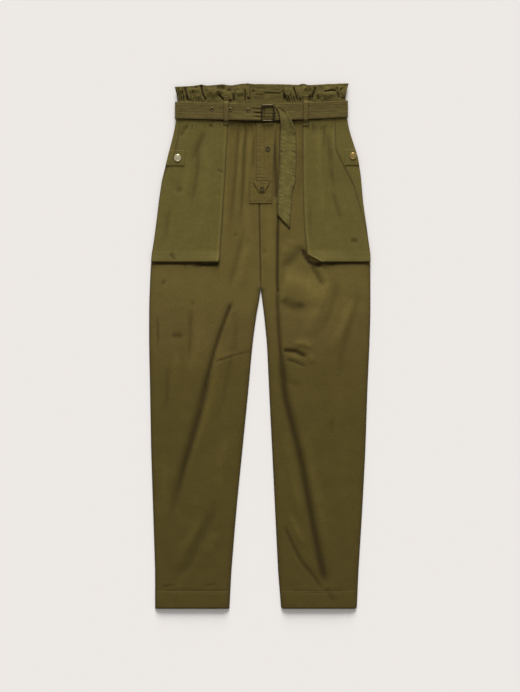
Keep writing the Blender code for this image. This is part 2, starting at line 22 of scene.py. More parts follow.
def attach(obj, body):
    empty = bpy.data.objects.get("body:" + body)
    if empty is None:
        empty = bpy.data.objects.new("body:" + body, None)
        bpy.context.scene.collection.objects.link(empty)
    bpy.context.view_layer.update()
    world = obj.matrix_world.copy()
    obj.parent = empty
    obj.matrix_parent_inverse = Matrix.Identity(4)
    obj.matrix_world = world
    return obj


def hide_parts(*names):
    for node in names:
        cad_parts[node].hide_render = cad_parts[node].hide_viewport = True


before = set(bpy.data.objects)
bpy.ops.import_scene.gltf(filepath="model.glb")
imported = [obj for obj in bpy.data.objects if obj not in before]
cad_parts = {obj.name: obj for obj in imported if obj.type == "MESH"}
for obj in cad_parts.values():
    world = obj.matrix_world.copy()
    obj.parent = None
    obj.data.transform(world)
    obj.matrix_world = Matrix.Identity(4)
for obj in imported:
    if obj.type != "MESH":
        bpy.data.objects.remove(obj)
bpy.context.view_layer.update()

LOG = logging.getLogger("trousers")
MM = 0.001
GARMENT_LENGTH = 1100.0
CLOTH_WALL = 0.7
LYING_GAP = 0.35  # the air between a piece and the cloth it lies on
Points = np.ndarray
Height = Callable[[Points, Points], Points]
Material = bpy.types.Material
Piece = bpy.types.Object


# Sizes and small sums


def at(x: float, up: float, z: float) -> Vector:
    """The place in the frame, in metres, of a point given in millimetres."""
    return Vector((x, up - GARMENT_LENGTH / 2.0, z)) * MM


def metres(points: Points) -> Points:
    """A whole array of points (x, up, z) in millimetres, as at() does for one."""
    return (points - np.array([0.0, GARMENT_LENGTH / 2.0, 0.0])) * MM


def ramp(value: Any, low: float, high: float) -> Any:
    """0 below low, 1 above high, and eased between them."""
    t = np.clip((np.asarray(value, float) - low) / (high - low), 0.0, 1.0)
    return t * t * (3.0 - 2.0 * t)


def rounded(distance: Any, reach: float) -> Any:
    """The profile of a rolled edge: 0 at the edge, 1 from reach inwards."""
    t = 1.0 - np.clip(np.asarray(distance, float) / reach, 0.0, 1.0)
    return np.sqrt(1.0 - t * t)


def bell(distance: Any, width: Any) -> Any:
    """1 in the middle, and dying away over a width on either side."""
    return np.exp(-((distance / width) ** 2))


def mix(a: Any, b: Any, t: Any) -> Any:
    """The value a share t of the way from a to b."""
    return a + (b - a) * t


def between(low: Points, high: Points, shares: Points) -> Points:
    """For each row, the places that stand these shares of the way from its low end to its high one."""
    return mix(low[:, None], high[:, None], shares[None, :])


def crowded_ends(count: int, amount: float = 0.6) -> Points:
    """count + 1 shares from 0 to 1, even for an amount of 0, and closer at both ends as it nears 1."""
    t = np.linspace(0.0, 1.0, count + 1)
    return t - amount * np.sin(math.tau * t) / math.tau


def smoothed(values: Points, reach: int) -> Points:
    """A line of values with its corners rounded off over reach neighbours, its ends kept.

    Args:
        values: the values, evenly spaced.
        reach: how many neighbours on each side count.
    Returns:
        as many values.
    """
    before, after = 2 * values[0] - values[reach:0:-1], 2 * values[-1] - values[-2:-reach - 2:-1]
    padded = np.concatenate([before, values, after])
    kernel = np.hanning(2 * reach + 3)[1:-1]
    return np.convolve(padded, kernel / kernel.sum(), "valid")


def smoothed_rows(levels: Points, reach: int) -> Points:
    """A grid of heights with each of its columns evened out, as smoothed() does for one line."""
    return np.stack([smoothed(column, reach) for column in levels.T], axis=1)


def ripple(x: Points, up: Points, length: float, seed: float) -> Points:
    """Soft uneven waves, about -1 to 1, with no direction of their own.

    Args:
        x: places across, in millimetres.
        up: places along, in millimetres.
        length: the size of one wave, in millimetres.
        seed: picks one pattern out of many.
    Returns:
        one value for each place.
    """
    flat = [fractal(Vector((a / length, b / length, seed)), 1.0, 2.0, 2)
            for a, b in zip(np.ravel(x), np.ravel(up))]
    return np.array(flat).reshape(np.shape(x))


# Finishes


def linear(code: str) -> tuple[float, float, float, float]:
    """An sRGB colour such as "#6b5f33" as linear RGBA."""
    parts = [int(code[i:i + 2], 16) / 255.0 for i in (1, 3, 5)]
    return (*(c / 12.92 if c <= 0.04045 else ((c + 0.055) / 1.055) ** 2.4 for c in parts), 1.0)


def fill(tree: bpy.types.NodeTree, node: bpy.types.Node, inputs: dict[Any, Any]) -> None:
    """Gives a node's inputs their values or links.

    Args:
        tree: the material's nodes.
        node: the node.
        inputs: for each input, by name or number, a value or the output to link to it.
    """
    for key, value in inputs.items():
        if isinstance(value, bpy.types.NodeSocket):
            tree.links.new(value, node.inputs[key])
        else:
            node.inputs[key].default_value = value


def add_node(tree: bpy.types.NodeTree, kind: str, inputs: dict[Any, Any] | None = None,
             **settings: Any) -> bpy.types.Node:
    """Adds one node to a tree.

    Args:
        tree: the material's nodes.
        kind: Blender's name for the node type.
        inputs: what goes into it, as fill() takes it.
        settings: the node's own properties.
    Returns:
        the new node.
    """
    node = tree.nodes.new(kind)
    for key, value in settings.items():
        setattr(node, key, value)
    fill(tree, node, inputs or {})
    return node


def blank_material(name: str) -> tuple[Material, bpy.types.NodeTree, bpy.types.Node]:
    """A new material with its nodes and its shader.

    Args:
        name: the material's name.
    Returns:
        the material, its nodes and its shader.
    """
    material = bpy.data.materials.new(name)
    material.use_nodes = True
    return material, material.node_tree, material.node_tree.nodes["Principled BSDF"]


@dataclass(frozen=True)
class CottonTwill:
    """Cotton twill, piece dyed, washed and brushed: matt, a little mottled, with a fine diagonal rib."""

    name: str
    worn: str = "#635529"  # where it was washed thin
    full: str = "#5e5026"  # the dye at its full depth
    # folded is painted shade: the colour that creases, turned-down edges and the belt's shadow are painted
    # towards
    folded: str = "#2c2109"  # down in a fold
    painted_highlight: float = 1.55  # how much paler a ridge's painted highlight is
    rib_mm: float = 2.6  # the real rib is about 0.8 mm, too fine to show, so it is drawn coarser
    rib_angle: float = 58.0  # degrees from straight across
    mottle_mm: float = 30.0
    grain_mm: float = 3.4  # a slub in the yarn, drawn wider than the real 1 mm so that it shows
    rib_depth: float = 0.16
    # Painted shade of the light's falloff, darker towards the hems: the place along the garment, in metres, and
    # the tone there.
    painted_falloff: tuple[tuple[float, tuple[float, float, float]], ...] = (
        (-0.55, (0.61, 0.61, 0.51)), (-0.22, (0.67, 0.685, 0.57)), (-0.07, (0.74, 0.745, 0.65)),
        (0.03, (0.875, 0.87, 0.89)), (0.12, (1.0, 1.03, 1.04)), (0.55, (0.99, 1.0, 0.99)))

    def material(self) -> Material:
        """The cloth's material.

        Returns:
            a material that follows the piece's own "fold" values of painted shade and highlight, with painted
            shade deepening towards the hems.
        """
        material, tree, shader = blank_material(self.name)
        place = add_node(tree, "ShaderNodeTexCoord").outputs["Object"]
        turned = add_node(tree, "ShaderNodeMapping", {
            "Vector": place, "Rotation": (0.0, 0.0, math.radians(self.rib_angle))})
        # The twill line: parallel slanting ribs, broken up a little as spun yarn is.
        rib = add_node(tree, "ShaderNodeTexWave", {
            "Vector": turned.outputs["Vector"], "Scale": math.tau / (20.0 * self.rib_mm * MM),
            "Distortion": 1.2, "Detail": 2.0, "Detail Scale": 2.0})
        slub = add_node(tree, "ShaderNodeTexNoise", {
            "Vector": place, "Scale": 1.0 / (self.mottle_mm * MM), "Detail": 5.0, "Roughness": 0.6})
        fine = add_node(tree, "ShaderNodeTexNoise", {
            "Vector": place, "Scale": 1.0 / (self.grain_mm * MM), "Detail": 2.0, "Roughness": 0.6})
        mottle = add_node(tree, "ShaderNodeMapRange", {
            "Value": slub.outputs["Fac"], "From Min": 0.34, "From Max": 0.66})
        dye = add_node(tree, "ShaderNodeMix", {
            "Factor": mottle.outputs["Result"], 6: linear(self.full), 7: linear(self.worn)}, data_type="RGBA")
        grain = add_node(tree, "ShaderNodeMapRange", {
            "Value": fine.outputs["Fac"], "From Min": 0.3, "From Max": 0.7, "To Min": 0.88, "To Max": 1.1})
        split = add_node(tree, "ShaderNodeSeparateXYZ", {"Vector": place})
        # Painted shade of the light's falloff, darker towards the hems.
        reach = self.painted_falloff[-1][0] - self.painted_falloff[0][0]
        length = add_node(tree, "ShaderNodeMapRange", {
            "Value": split.outputs["Y"], "From Min": self.painted_falloff[0][0], "From Max": self.painted_falloff[-1][0]})
        depth = add_node(tree, "ShaderNodeValToRGB", {"Fac": length.outputs["Result"]})
        depth.color_ramp.interpolation = "EASE"
        for place_along, tone in self.painted_falloff[1:-1]:
            stop = depth.color_ramp.elements.new((place_along - self.painted_falloff[0][0]) / reach)
            stop.color = (*tone, 1.0)
        depth.color_ramp.elements[0].color = (*self.painted_falloff[0][1], 1.0)
        depth.color_ramp.elements[-1].color = (*self.painted_falloff[-1][1], 1.0)
        grained = add_node(tree, "ShaderNodeVectorMath", {
            0: dye.outputs[2], "Scale": grain.outputs["Result"]}, operation="SCALE")
        toned = add_node(tree, "ShaderNodeVectorMath", {
            0: grained.outputs["Vector"], 1: depth.outputs["Color"]}, operation="MULTIPLY")
        # "fold" runs from 1, painted shade at the bottom of a fold, to -1, a painted highlight on a ridge.
        fold = add_node(tree, "ShaderNodeAttribute", attribute_name="fold")
        painted_highlight = add_node(tree, "ShaderNodeMapRange", {
            "Value": fold.outputs["Fac"], "From Min": -1.0, "From Max": 0.0,
            "To Min": self.painted_highlight, "To Max": 1.0})
        pale = add_node(tree, "ShaderNodeVectorMath", {
            0: toned.outputs["Vector"], "Scale": painted_highlight.outputs["Result"]}, operation="SCALE")
        colour = add_node(tree, "ShaderNodeMix", {
            "Factor": fold.outputs["Fac"], 6: pale.outputs["Vector"], 7: linear(self.folded)},
            data_type="RGBA")
        raised = add_node(tree, "ShaderNodeMath", {
            0: rib.outputs["Fac"], 1: fine.outputs["Fac"]}, operation="ADD")
        bump = add_node(tree, "ShaderNodeBump", {
            "Height": raised.outputs["Value"], "Strength": self.rib_depth, "Distance": 0.6 * MM})
        fill(tree, shader, {
            "Base Color": colour.outputs[2], "Roughness": 0.88, "IOR": 1.46, "Specular IOR Level": 0.15,
            "Sheen Weight": 0.05, "Sheen Roughness": 0.45, "Normal": bump.outputs["Normal"]})
        return material


@dataclass(frozen=True)
class SewingThread:
    """Spun polyester thread, dyed to match: a shade lighter than the cloth, with a slight shine."""

    name: str = "Spun polyester thread"
    colour: str = "#66582c"

    def material(self) -> Material:
        """The thread's material: the ply is drawn as a fine twist of light and dark.

        Returns:
            the material.
        """
        material, tree, shader = blank_material(self.name)
        place = add_node(tree, "ShaderNodeTexCoord").outputs["Object"]
        ply = add_node(tree, "ShaderNodeTexNoise", {
            "Vector": place, "Scale": 1.0 / (1.1 * MM), "Detail": 1.0})
        tone = add_node(tree, "ShaderNodeMapRange", {
            "Value": ply.outputs["Fac"], "From Min": 0.3, "From Max": 0.7, "To Min": 0.8, "To Max": 1.1})
        shade = add_node(tree, "ShaderNodeVectorMath", {
            0: linear(self.colour)[:3], "Scale": tone.outputs["Result"]}, operation="SCALE")
        fill(tree, shader, {"Base Color": shade.outputs["Vector"], "Roughness": 0.6})
        return material


@dataclass(frozen=True)
class PlatedMetal:
    """A plated zinc or brass fitting, tumbled and plated: satin, with duller patches where it was handled."""

    name: str
    colour: str
    worn: str
    roughness: float
    speck_mm: float = 1.6

    def material(self) -> Material:
        """The plating's material: wear lightens it in small patches and changes its gloss.

        Returns:
            the material.
        """
        material, tree, shader = blank_material(self.name)
        place = add_node(tree, "ShaderNodeTexCoord").outputs["Object"]
        speck = add_node(tree, "ShaderNodeTexNoise", {
            "Vector": place, "Scale": 1.0 / (self.speck_mm * MM), "Detail": 4.0, "Roughness": 0.55})
        patch = add_node(tree, "ShaderNodeMapRange", {
            "Value": speck.outputs["Fac"], "From Min": 0.45, "From Max": 0.75})
        colour = add_node(tree, "ShaderNodeMix", {
            "Factor": patch.outputs["Result"], 6: linear(self.colour), 7: linear(self.worn)}, data_type="RGBA")
        gloss = add_node(tree, "ShaderNodeMapRange", {
            "Value": speck.outputs["Fac"], "From Min": 0.3, "From Max": 0.7,
            "To Min": self.roughness * 0.85, "To Max": self.roughness * 1.2})
        fill(tree, shader, {
            "Base Color": colour.outputs[2], "Roughness": gloss.outputs["Result"], "Metallic": 1.0})
        return material


@dataclass(frozen=True)
class PressedButton:
    """A pressed polyester button, dyed dark brown: a soft gloss with a faint cloud in it."""

    name: str = "Pressed polyester button"
    colour: str = "#372e16"
    cloud: str = "#4a3f20"

    def material(self) -> Material:
        """The button's material: horn-like clouds a few millimetres wide.

        Returns:
            the material.
        """
        material, tree, shader = blank_material(self.name)
        place = add_node(tree, "ShaderNodeTexCoord").outputs["Object"]
        cloud = add_node(tree, "ShaderNodeTexNoise", {
            "Vector": place, "Scale": 1.0 / (3.0 * MM), "Detail": 3.0})
        colour = add_node(tree, "ShaderNodeMix", {
            "Factor": cloud.outputs["Fac"], 6: linear(self.colour), 7: linear(self.cloud)}, data_type="RGBA")
        fill(tree, shader, {"Base Color": colour.outputs[2], "Roughness": 0.62, "Specular IOR Level": 0.2})
        return material


@dataclass(frozen=True)
class StudioFloor:
    """Seamless paper, coated: an even pale surface with no gloss."""

    name: str = "Coated studio paper"
    colour: str = "#f0ece9"

    def material(self) -> Material:
        """The paper's material: a barely visible tooth.

        Returns:
            the material.
        """
        material, tree, shader = blank_material(self.name)
        place = add_node(tree, "ShaderNodeTexCoord").outputs["Object"]
        tooth = add_node(tree, "ShaderNodeTexNoise", {
            "Vector": place, "Scale": 1.0 / (40.0 * MM), "Detail": 2.0})
        tone = add_node(tree, "ShaderNodeMapRange", {
            "Value": tooth.outputs["Fac"], "To Min": 0.995, "To Max": 1.005})
        shade = add_node(tree, "ShaderNodeVectorMath", {
            0: linear(self.colour)[:3], "Scale": tone.outputs["Result"]}, operation="SCALE")
        fill(tree, shader, {
            "Base Color": shade.outputs["Vector"], "Roughness": 0.95, "Specular IOR Level": 0.1})
        return material


class Slot(Enum):
    """The record's material slots."""

    TWILL = "twill"
    BELT = "belt_cloth"
    GUNMETAL = "gunmetal"
    BUTTON = "button"
    BRASS = "snap_brass"


class Wardrobe:
    """Every finish, made once and handed to the pieces."""

    def __init__(self) -> None:
        """Makes the materials."""
        self.twill = CottonTwill("Brushed cotton twill").material()
        self.twill_pocket = CottonTwill("Brushed cotton twill, pocket", "#62572a", "#5e5328").material()
        # The gathered copy is darker than the leg's cloth: painted shade of the gathers.
        self.twill_frill_shaded = CottonTwill("Brushed cotton twill, gathered", "#5f542a", "#574c25").material()
        self.twill_belt = CottonTwill("Stiffened cotton twill", "#5e5229", "#584c26", rib_mm=2.2).material()
        # The tail's lighter copy of the belt cloth is painted light, not a washed finish.
        self.twill_tail_lit = CottonTwill(
            "Stiffened cotton twill, lit copy", "#675d30", "#62582d", rib_mm=2.2).material()
        self.thread = SewingThread().material()
        self.gunmetal = PlatedMetal("Gunmetal plated zinc", "#3a3226", "#6f6850", 0.38).material()
        self.eyelet = PlatedMetal("Antique brass plated eyelet", "#5f5537", "#7a6f4a", 0.5).material()
        # A near-black material for the eyelet hole's inside and bottom: painted shade.
        self.barrel = PlatedMetal("Eyelet hole painted shade", "#120d08", "#1c150d", 0.7).material()
        self.prong = PlatedMetal("Blackened prong wire", "#221a11", "#4b3f2c", 0.42).material()
        self.brass = PlatedMetal("Pale brass plated snap", "#d8cda8", "#ece2c4", 0.34).material()
        self.aged_brass = PlatedMetal("Aged brass snap", "#a98c54", "#c2a468", 0.36).material()
        self.button = PressedButton().material()


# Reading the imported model


@dataclass
class Pattern:
    """The outline of one cut piece, read from its CAD solid seen from above."""

    node: str
    step: float = 2.0
    lows: Points = field(init=False)
    highs: Points = field(init=False)

    def __post_init__(self) -> None:
        """Reads the solid's edges once."""
        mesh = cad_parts[self.node].data
        corners = np.empty(len(mesh.vertices) * 3)
        mesh.vertices.foreach_get("co", corners)
        corners = corners.reshape(-1, 3) / MM + np.array([0.0, GARMENT_LENGTH / 2.0, 0.0])
        pairs = np.empty(len(mesh.edges) * 2, np.int32)
        mesh.edges.foreach_get("vertices", pairs)
        ends = corners[pairs.reshape(-1, 2)]
        self.lows = ends[:, 0]
        self.highs = ends[:, 1]

    def span(self, level: float, axis: int = 1) -> tuple[float, float]:
        """How far the piece reaches across one level.

        Args:
            level: the place along the axis, in millimetres.
            axis: 1 to cut it across at a height, 0 to cut it lengthwise.
        Returns:
            the lowest and highest place on the other axis.
        """
        a, b = self.lows[:, axis], self.highs[:, axis]
        cut = (np.minimum(a, b) <= level) & (np.maximum(a, b) >= level) & (np.abs(b - a) > 1e-6)
        t = (level - a[cut]) / (b[cut] - a[cut])
        other = mix(self.lows[cut, 1 - axis], self.highs[cut, 1 - axis], t)
        return float(other.min()), float(other.max())

    def box(self) -> tuple[Points, Points]:
        """The lowest and highest corners, in millimetres."""
        both = np.concatenate([self.lows, self.highs])
        return both.min(axis=0), both.max(axis=0)

    def line(self, levels: Points, axis: int = 1, soften: int = 0) -> tuple[Points, Points]:
        """span() at many levels, with the corners between them rounded off.

        Args:
            levels: evenly spaced places along the axis.
            axis: as in span().
            soften: how many neighbours to round over.
        Returns:
            the low side and the high side.
        """
        low, high = self.box()
        kept = np.clip(levels, low[axis] + 0.02, high[axis] - 0.02)
        sides = np.array([self.span(level, axis) for level in kept])
        if soften:
            return smoothed(sides[:, 0], soften), smoothed(sides[:, 1], soften)
        return sides[:, 0], sides[:, 1]


# Making cloth


@dataclass(frozen=True)
class Fold:
    """A crease given as its route, its height, and how far it spreads on its two sides."""

    route: tuple[tuple[float, float], ...]
    height: float  # below 0 for a trough
    left: float  # half width on the left of the route, going along it
    right: float
    start: float = 0.15  # the share of the route over which it grows
    end: float = 0.25  # the share over which it dies out
    shade: float = 0.0  # painted shade in its bottom, or, below 0, a painted highlight on its ridge

    def field(self, x: Points, up: Points) -> tuple[Points, Points]:
        """What the crease does at each place.

        Args:
            x: places across.
            up: places along.
        Returns:
            what it adds to the height, and how strongly it is there, from 0 to 1.
        """
        nodes = np.array(self.route, float)
        spans = np.hypot(*(nodes[1:] - nodes[:-1]).T)
        best = np.full(np.shape(x), np.inf)
        side = np.zeros(np.shape(x))
        share = np.zeros(np.shape(x))
        passed = 0.0
        for a, b, span in zip(nodes, nodes[1:], spans):
            leg = (b - a) / span
            t = np.clip((x - a[0]) * leg[0] + (up - a[1]) * leg[1], 0.0, span)
            dx, du = x - a[0] - leg[0] * t, up - a[1] - leg[1] * t
            distance = np.hypot(dx, du)
            nearer = distance < best
            best = np.where(nearer, distance, best)
            side = np.where(nearer, leg[0] * (up - a[1]) - leg[1] * (x - a[0]), side)
            share = np.where(nearer, (passed + t) / spans.sum(), share)
            passed += span
        width = np.where(side > 0, self.left, self.right)
        fade = ramp(share, 0.0, max(self.start, 0.01)) * ramp(1.0 - share, 0.0, max(self.end, 0.01))
        there = fade * bell(best, width)
        return self.height * there, there


def creased(folds: Iterable[Fold], x: Points, up: Points) -> tuple[Points, Points]:
    """All the folds together: what they add to the height, and their painted shade, below 0 a painted
    highlight.

    Args:
        folds: the folds.
        x: places across.
        up: places along.
    Returns:
        the added height and the painted shade at each place.
    """
    total, dark, pale = np.zeros(np.shape(x)), np.zeros(np.shape(x)), np.zeros(np.shape(x))
    for fold in folds:
        rise, there = fold.field(x, up)
        total = total + rise
        dark = np.maximum(dark, np.minimum(there * fold.shade, 1.0))
        pale = np.maximum(pale, -there * fold.shade)
    return total, dark - pale * (1.0 - dark)


def hollows(z: Points, reach: int, strength: float) -> Points:
    """Painted shade from a surface's own relief: darker in hollows, a painted highlight on ridges, strength for
    each millimetre.
    """
    around = smoothed_rows(smoothed_rows(z, reach).T, reach).T
    return np.clip((around - z) * strength, -0.8, 0.9)


def fine_pleats(first: float, last: float, count: int, low: float, high: float, lean: float,
                depth: float) -> tuple[Fold, ...]:
    """A cluster of narrow pleats that stand side by side and lean the same way.

    Args:
        first: the first pleat's place across, at its top.
        last: the last pleat's place.
        count: how many there are.
        low: the height where they end.
        high: the height where they begin.
        lean: how far each leans across on its way down.
        depth: how deep they are, about.
    Returns:
        the pleats, no two quite alike.
    """
    pleats = []
    for i, x in enumerate(np.linspace(first, last, count)):
        own = 1.0 + 0.35 * math.sin(2.7 * i + first)
        drop = 3.5 * math.sin(1.9 * i)
        # each pleat's last number is painted shade in its trough
        pleats.append(Fold(((x, high + drop), (x + lean * 0.5, mix(high, low, 0.5)), (x + lean, low)),
                           -depth * own, 1.15, 1.3, 0.3, 0.12, 0.42 * depth * own))
    return tuple(pleats)


class Pile:
    """The cloth laid so far, so that the next piece, or its stitching, can lie on it."""

    def __init__(self) -> None:
        """Starts with nothing but the table."""
        self.trees: dict[str, BVHTree] = {}

    def add(self, name: str, corners: Points, faces: list[tuple[int, ...]]) -> None:
        """Remembers the upper face of a finished piece, in millimetres."""
        self.trees[name] = BVHTree.FromPolygons(corners.tolist(), faces)

    def top(self, x: float, up: float, names: Sequence[str] = (), otherwise: float = 0.0) -> float:
        """The height of the highest cloth at one place.

        Args:
            x: the place across.
            up: the place along.
            names: the pieces that count, or none for all.
            otherwise: the height where there is no cloth.
        Returns:
            the height in millimetres.
        """
        best = otherwise
        for name in names or self.trees:
            hit = self.trees[name].ray_cast(Vector((x, up, 60.0)), Vector((0.0, 0.0, -1.0)))[0]
            if hit is not None:
                best = max(best, hit.z)
        return best

    def over(self, x: Points, up: Points, names: Sequence[str], reach: float = 0.0) -> Points:
        """The highest cloth within reach of each place.

        Args:
            x: places across.
            up: places along.
            names: the pieces that count.
            reach: how far round each place to look, in millimetres.
        Returns:
            a height for each place.
        """
        around = [(0.0, 0.0)]
        if reach:
            around += [(reach * math.cos(a), reach * math.sin(a))
                       for a in np.arange(0.0, math.tau, math.tau / 6)]
        flat = [max(self.top(a + dx, b + du, names) for dx, du in around)
                for a, b in zip(np.ravel(x), np.ravel(up))]
        return np.array(flat).reshape(np.shape(x))


PILE = Pile()


def new_piece(name: str, corners: Points, faces: list[tuple[int, ...]], material: Material) -> Piece:
    """Makes a smooth mesh object that rides on the garment.

    Args:
        name: the piece's name.
        corners: its vertices, in millimetres.
        faces: vertex numbers of each face.
        material: its finish.
    Returns:
        the object.
    """
    mesh = bpy.data.meshes.new(name)
    mesh.from_pydata(metres(corners).tolist(), [], faces)
    mesh.polygons.foreach_set("use_smooth", [True] * len(mesh.polygons))
    mesh.materials.append(material)
    mesh.update()
    piece = bpy.data.objects.new(name, mesh)
    bpy.context.scene.collection.objects.link(piece)
    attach(piece, "root")
    LOG.info("%s: %d faces", name, len(faces))
    return piece


def grid_faces(rows: int, columns: int) -> list[tuple[int, ...]]:
    """The quads of a grid of vertices numbered row by row."""
    return [(r * columns + c, r * columns + c + 1, (r + 1) * columns + c + 1, (r + 1) * columns + c)
            for r in range(rows - 1) for c in range(columns - 1)]


def rim_of(rows: int, columns: int) -> list[int]:
    """The grid's border vertices, once round.

    Args:
        rows: how many rows of vertices the grid has.
        columns: how many in each row.
    Returns:
        vertex numbers.
    """
    rim = list(range(columns))
    rim += [r * columns + columns - 1 for r in range(1, rows)]
    rim += [(rows - 1) * columns + c for c in range(columns - 2, -1, -1)]
    rim += [r * columns for r in range(rows - 2, 0, -1)]
    return rim


def sewn_cloth(name: str, outer: Points, material: Material,
               wall: float = CLOTH_WALL, shade: Points | None = None) -> Piece:
    """A thin shell under a grid of points, its edges rolled.

    Args:
        name: the piece's name.
        outer: the outer face, rows by columns by (x, up, z), in millimetres.
        material: its finish.
        wall: the cloth's thickness.
        shade: the painted shade, below 0 the painted highlight, for each point.
    Returns:
        the object.
    """
    rows, columns = outer.shape[:2]
    normal = np.cross(np.gradient(outer, axis=1), np.gradient(outer, axis=0))
    normal /= np.maximum(np.linalg.norm(normal, axis=2, keepdims=True), 1e-9)
    inner = outer - normal * wall
    top, under = outer.reshape(-1, 3), inner.reshape(-1, 3)
    count = len(top)
    faces = grid_faces(rows, columns)
    below = [tuple(count + i for i in reversed(face)) for face in faces]
    rim = rim_of(rows, columns)
    middle = (top[rim] + under[rim]) / 2
    ahead, behind = np.roll(middle, -1, axis=0), np.roll(middle, 1, axis=0)
    outwards = np.cross(ahead - behind, normal.reshape(-1, 3)[rim])
    outwards /= np.maximum(np.linalg.norm(outwards, axis=1, keepdims=True), 1e-9)
    middle = middle + outwards * wall * 0.4
    side = []
    for i, here in enumerate(rim):
        j = (i + 1) % len(rim)
        there = rim[j]
        side.append((there, here, 2 * count + i, 2 * count + j))
        side.append((2 * count + j, 2 * count + i, count + here, count + there))
    piece = new_piece(name, np.concatenate([top, under, middle]), faces + below + side, material)
    # the "fold" attribute carries the painted shade and highlight to the material
    values = np.zeros(2 * count + len(rim))
    if shade is not None:
        values[:count] = np.clip(shade.reshape(-1), -1.0, 1.0)
    attribute = piece.data.attributes.new("fold", "FLOAT", "POINT")
    attribute.data.foreach_set("value", values)
    PILE.add(name, top, faces)
    return piece


@lru_cache(maxsize=1)
def belt_border() -> tuple[Points, Points]:
    """The belt's lower border, as places across and heights."""
    places = np.linspace(-170.0, 176.0, 60)
    return places, Pattern("belt").line(places, axis=0, soften=4)[0]


def under_belt(x: Points, up: Points) -> Points:
    """The painted shadow on whatever lies just below the belt, widest beside the buckle.

    Args:
        x: places across.
        up: places along.
    Returns:
        the shade at each place.
    """
    places, border = belt_border()
    below = np.interp(x, places, border) - up
    slack = np.interp(x, (-176, -120, -60, -40, 44, 58, 66, 110, 180),
                      (0.9, 1.4, 2.2, 3.0, 3.2, 3.0, 2.4, 1.5, 0.9))
    return (1.0 - ramp(below, slack * 0.9, slack * 2.1)) * ramp(slack, 0.2, 1.6)


# Stitching


@dataclass
class Stitching:
    """A joined run of stitches that lies on the cloth, as thread with its two ends drawn down."""

    name: str
    thread: Material
    pitch: float = 4.2  # a real stitch is about 3 mm; it is drawn longer and thicker so that it shows
    length: float = 3.3
    radius: float = 0.34
    sides: int = 6
    corners: list[Points] = field(default_factory=list)
    faces: list[tuple[int, ...]] = field(default_factory=list)

    def dash(self, start: Points, end: Points) -> None:
        """Adds one stitch between two places (x, up).

        Args:
            start: where it goes in.
            end: where it comes out.
        """
        run = end - start
        across = np.array([-run[1], run[0]]) / max(np.hypot(*run), 1e-6)
        first = len(self.corners)
        for share, size, lift in ((0.0, 0.45, -0.15), (0.2, 0.95, 0.12), (0.8, 0.95, 0.12), (1.0, 0.45, -0.15)):
            place = mix(start, end, share)
            level = PILE.top(*place) + lift
            for i in range(self.sides):
                angle = math.tau * i / self.sides
                flat = place + across * self.radius * size * math.cos(angle)
                self.corners.append(np.array([*flat, level + self.radius * size * math.sin(angle)]))
        for ring in range(3):
            for i in range(self.sides):
                j = (i + 1) % self.sides
                a, b = first + ring * self.sides, first + (ring + 1) * self.sides
                self.faces.append((a + i, a + j, b + j, b + i))
        last = first + 3 * self.sides
        self.faces.append(tuple(first + i for i in range(self.sides - 1, -1, -1)))
        self.faces.append(tuple(last + i for i in range(self.sides)))

    def run(self, route: Sequence[tuple[float, float]]) -> None:
        """Sews along a route of places (x, up).

        Args:
            route: the places.
        """
        nodes = np.array(route, float)
        spans = np.hypot(*(nodes[1:] - nodes[:-1]).T)
        marks = np.concatenate([[0.0], np.cumsum(spans)])
        for begin in np.arange(0.6, marks[-1] - self.length, self.pitch):
            places = [np.array([np.interp(d, marks, nodes[:, 0]), np.interp(d, marks, nodes[:, 1])])
                      for d in (begin, begin + self.length)]
            self.dash(*places)

    def bartack(self, x: float, up: float, width: float, tall: float = 2.0, upright: bool = False) -> None:
        """Sews a short dense bar centred on one place.

        Args:
            x: its centre across.
            up: its centre along.
            width: its length.
            tall: how long its stitches are.
            upright: whether it runs along the garment.
        """
        for i in np.linspace(-0.5, 0.5, max(int(width / 0.9), 3)):
            if upright:
                self.dash(np.array([x - tall / 2, up + width * i]), np.array([x + tall / 2, up + width * i]))
            else:
                self.dash(np.array([x + width * i, up - tall / 2]), np.array([x + width * i, up + tall / 2]))

    def sew(self) -> None:
        """Makes the piece."""
        new_piece(self.name, np.array(self.corners), self.faces, self.thread)


def groove(distance: Points, width: float = 1.6, depth: float = 0.3) -> Points:
    """The little channel that a row of stitches pulls into the cloth."""
    return -depth * bell(distance, width)


# Legs


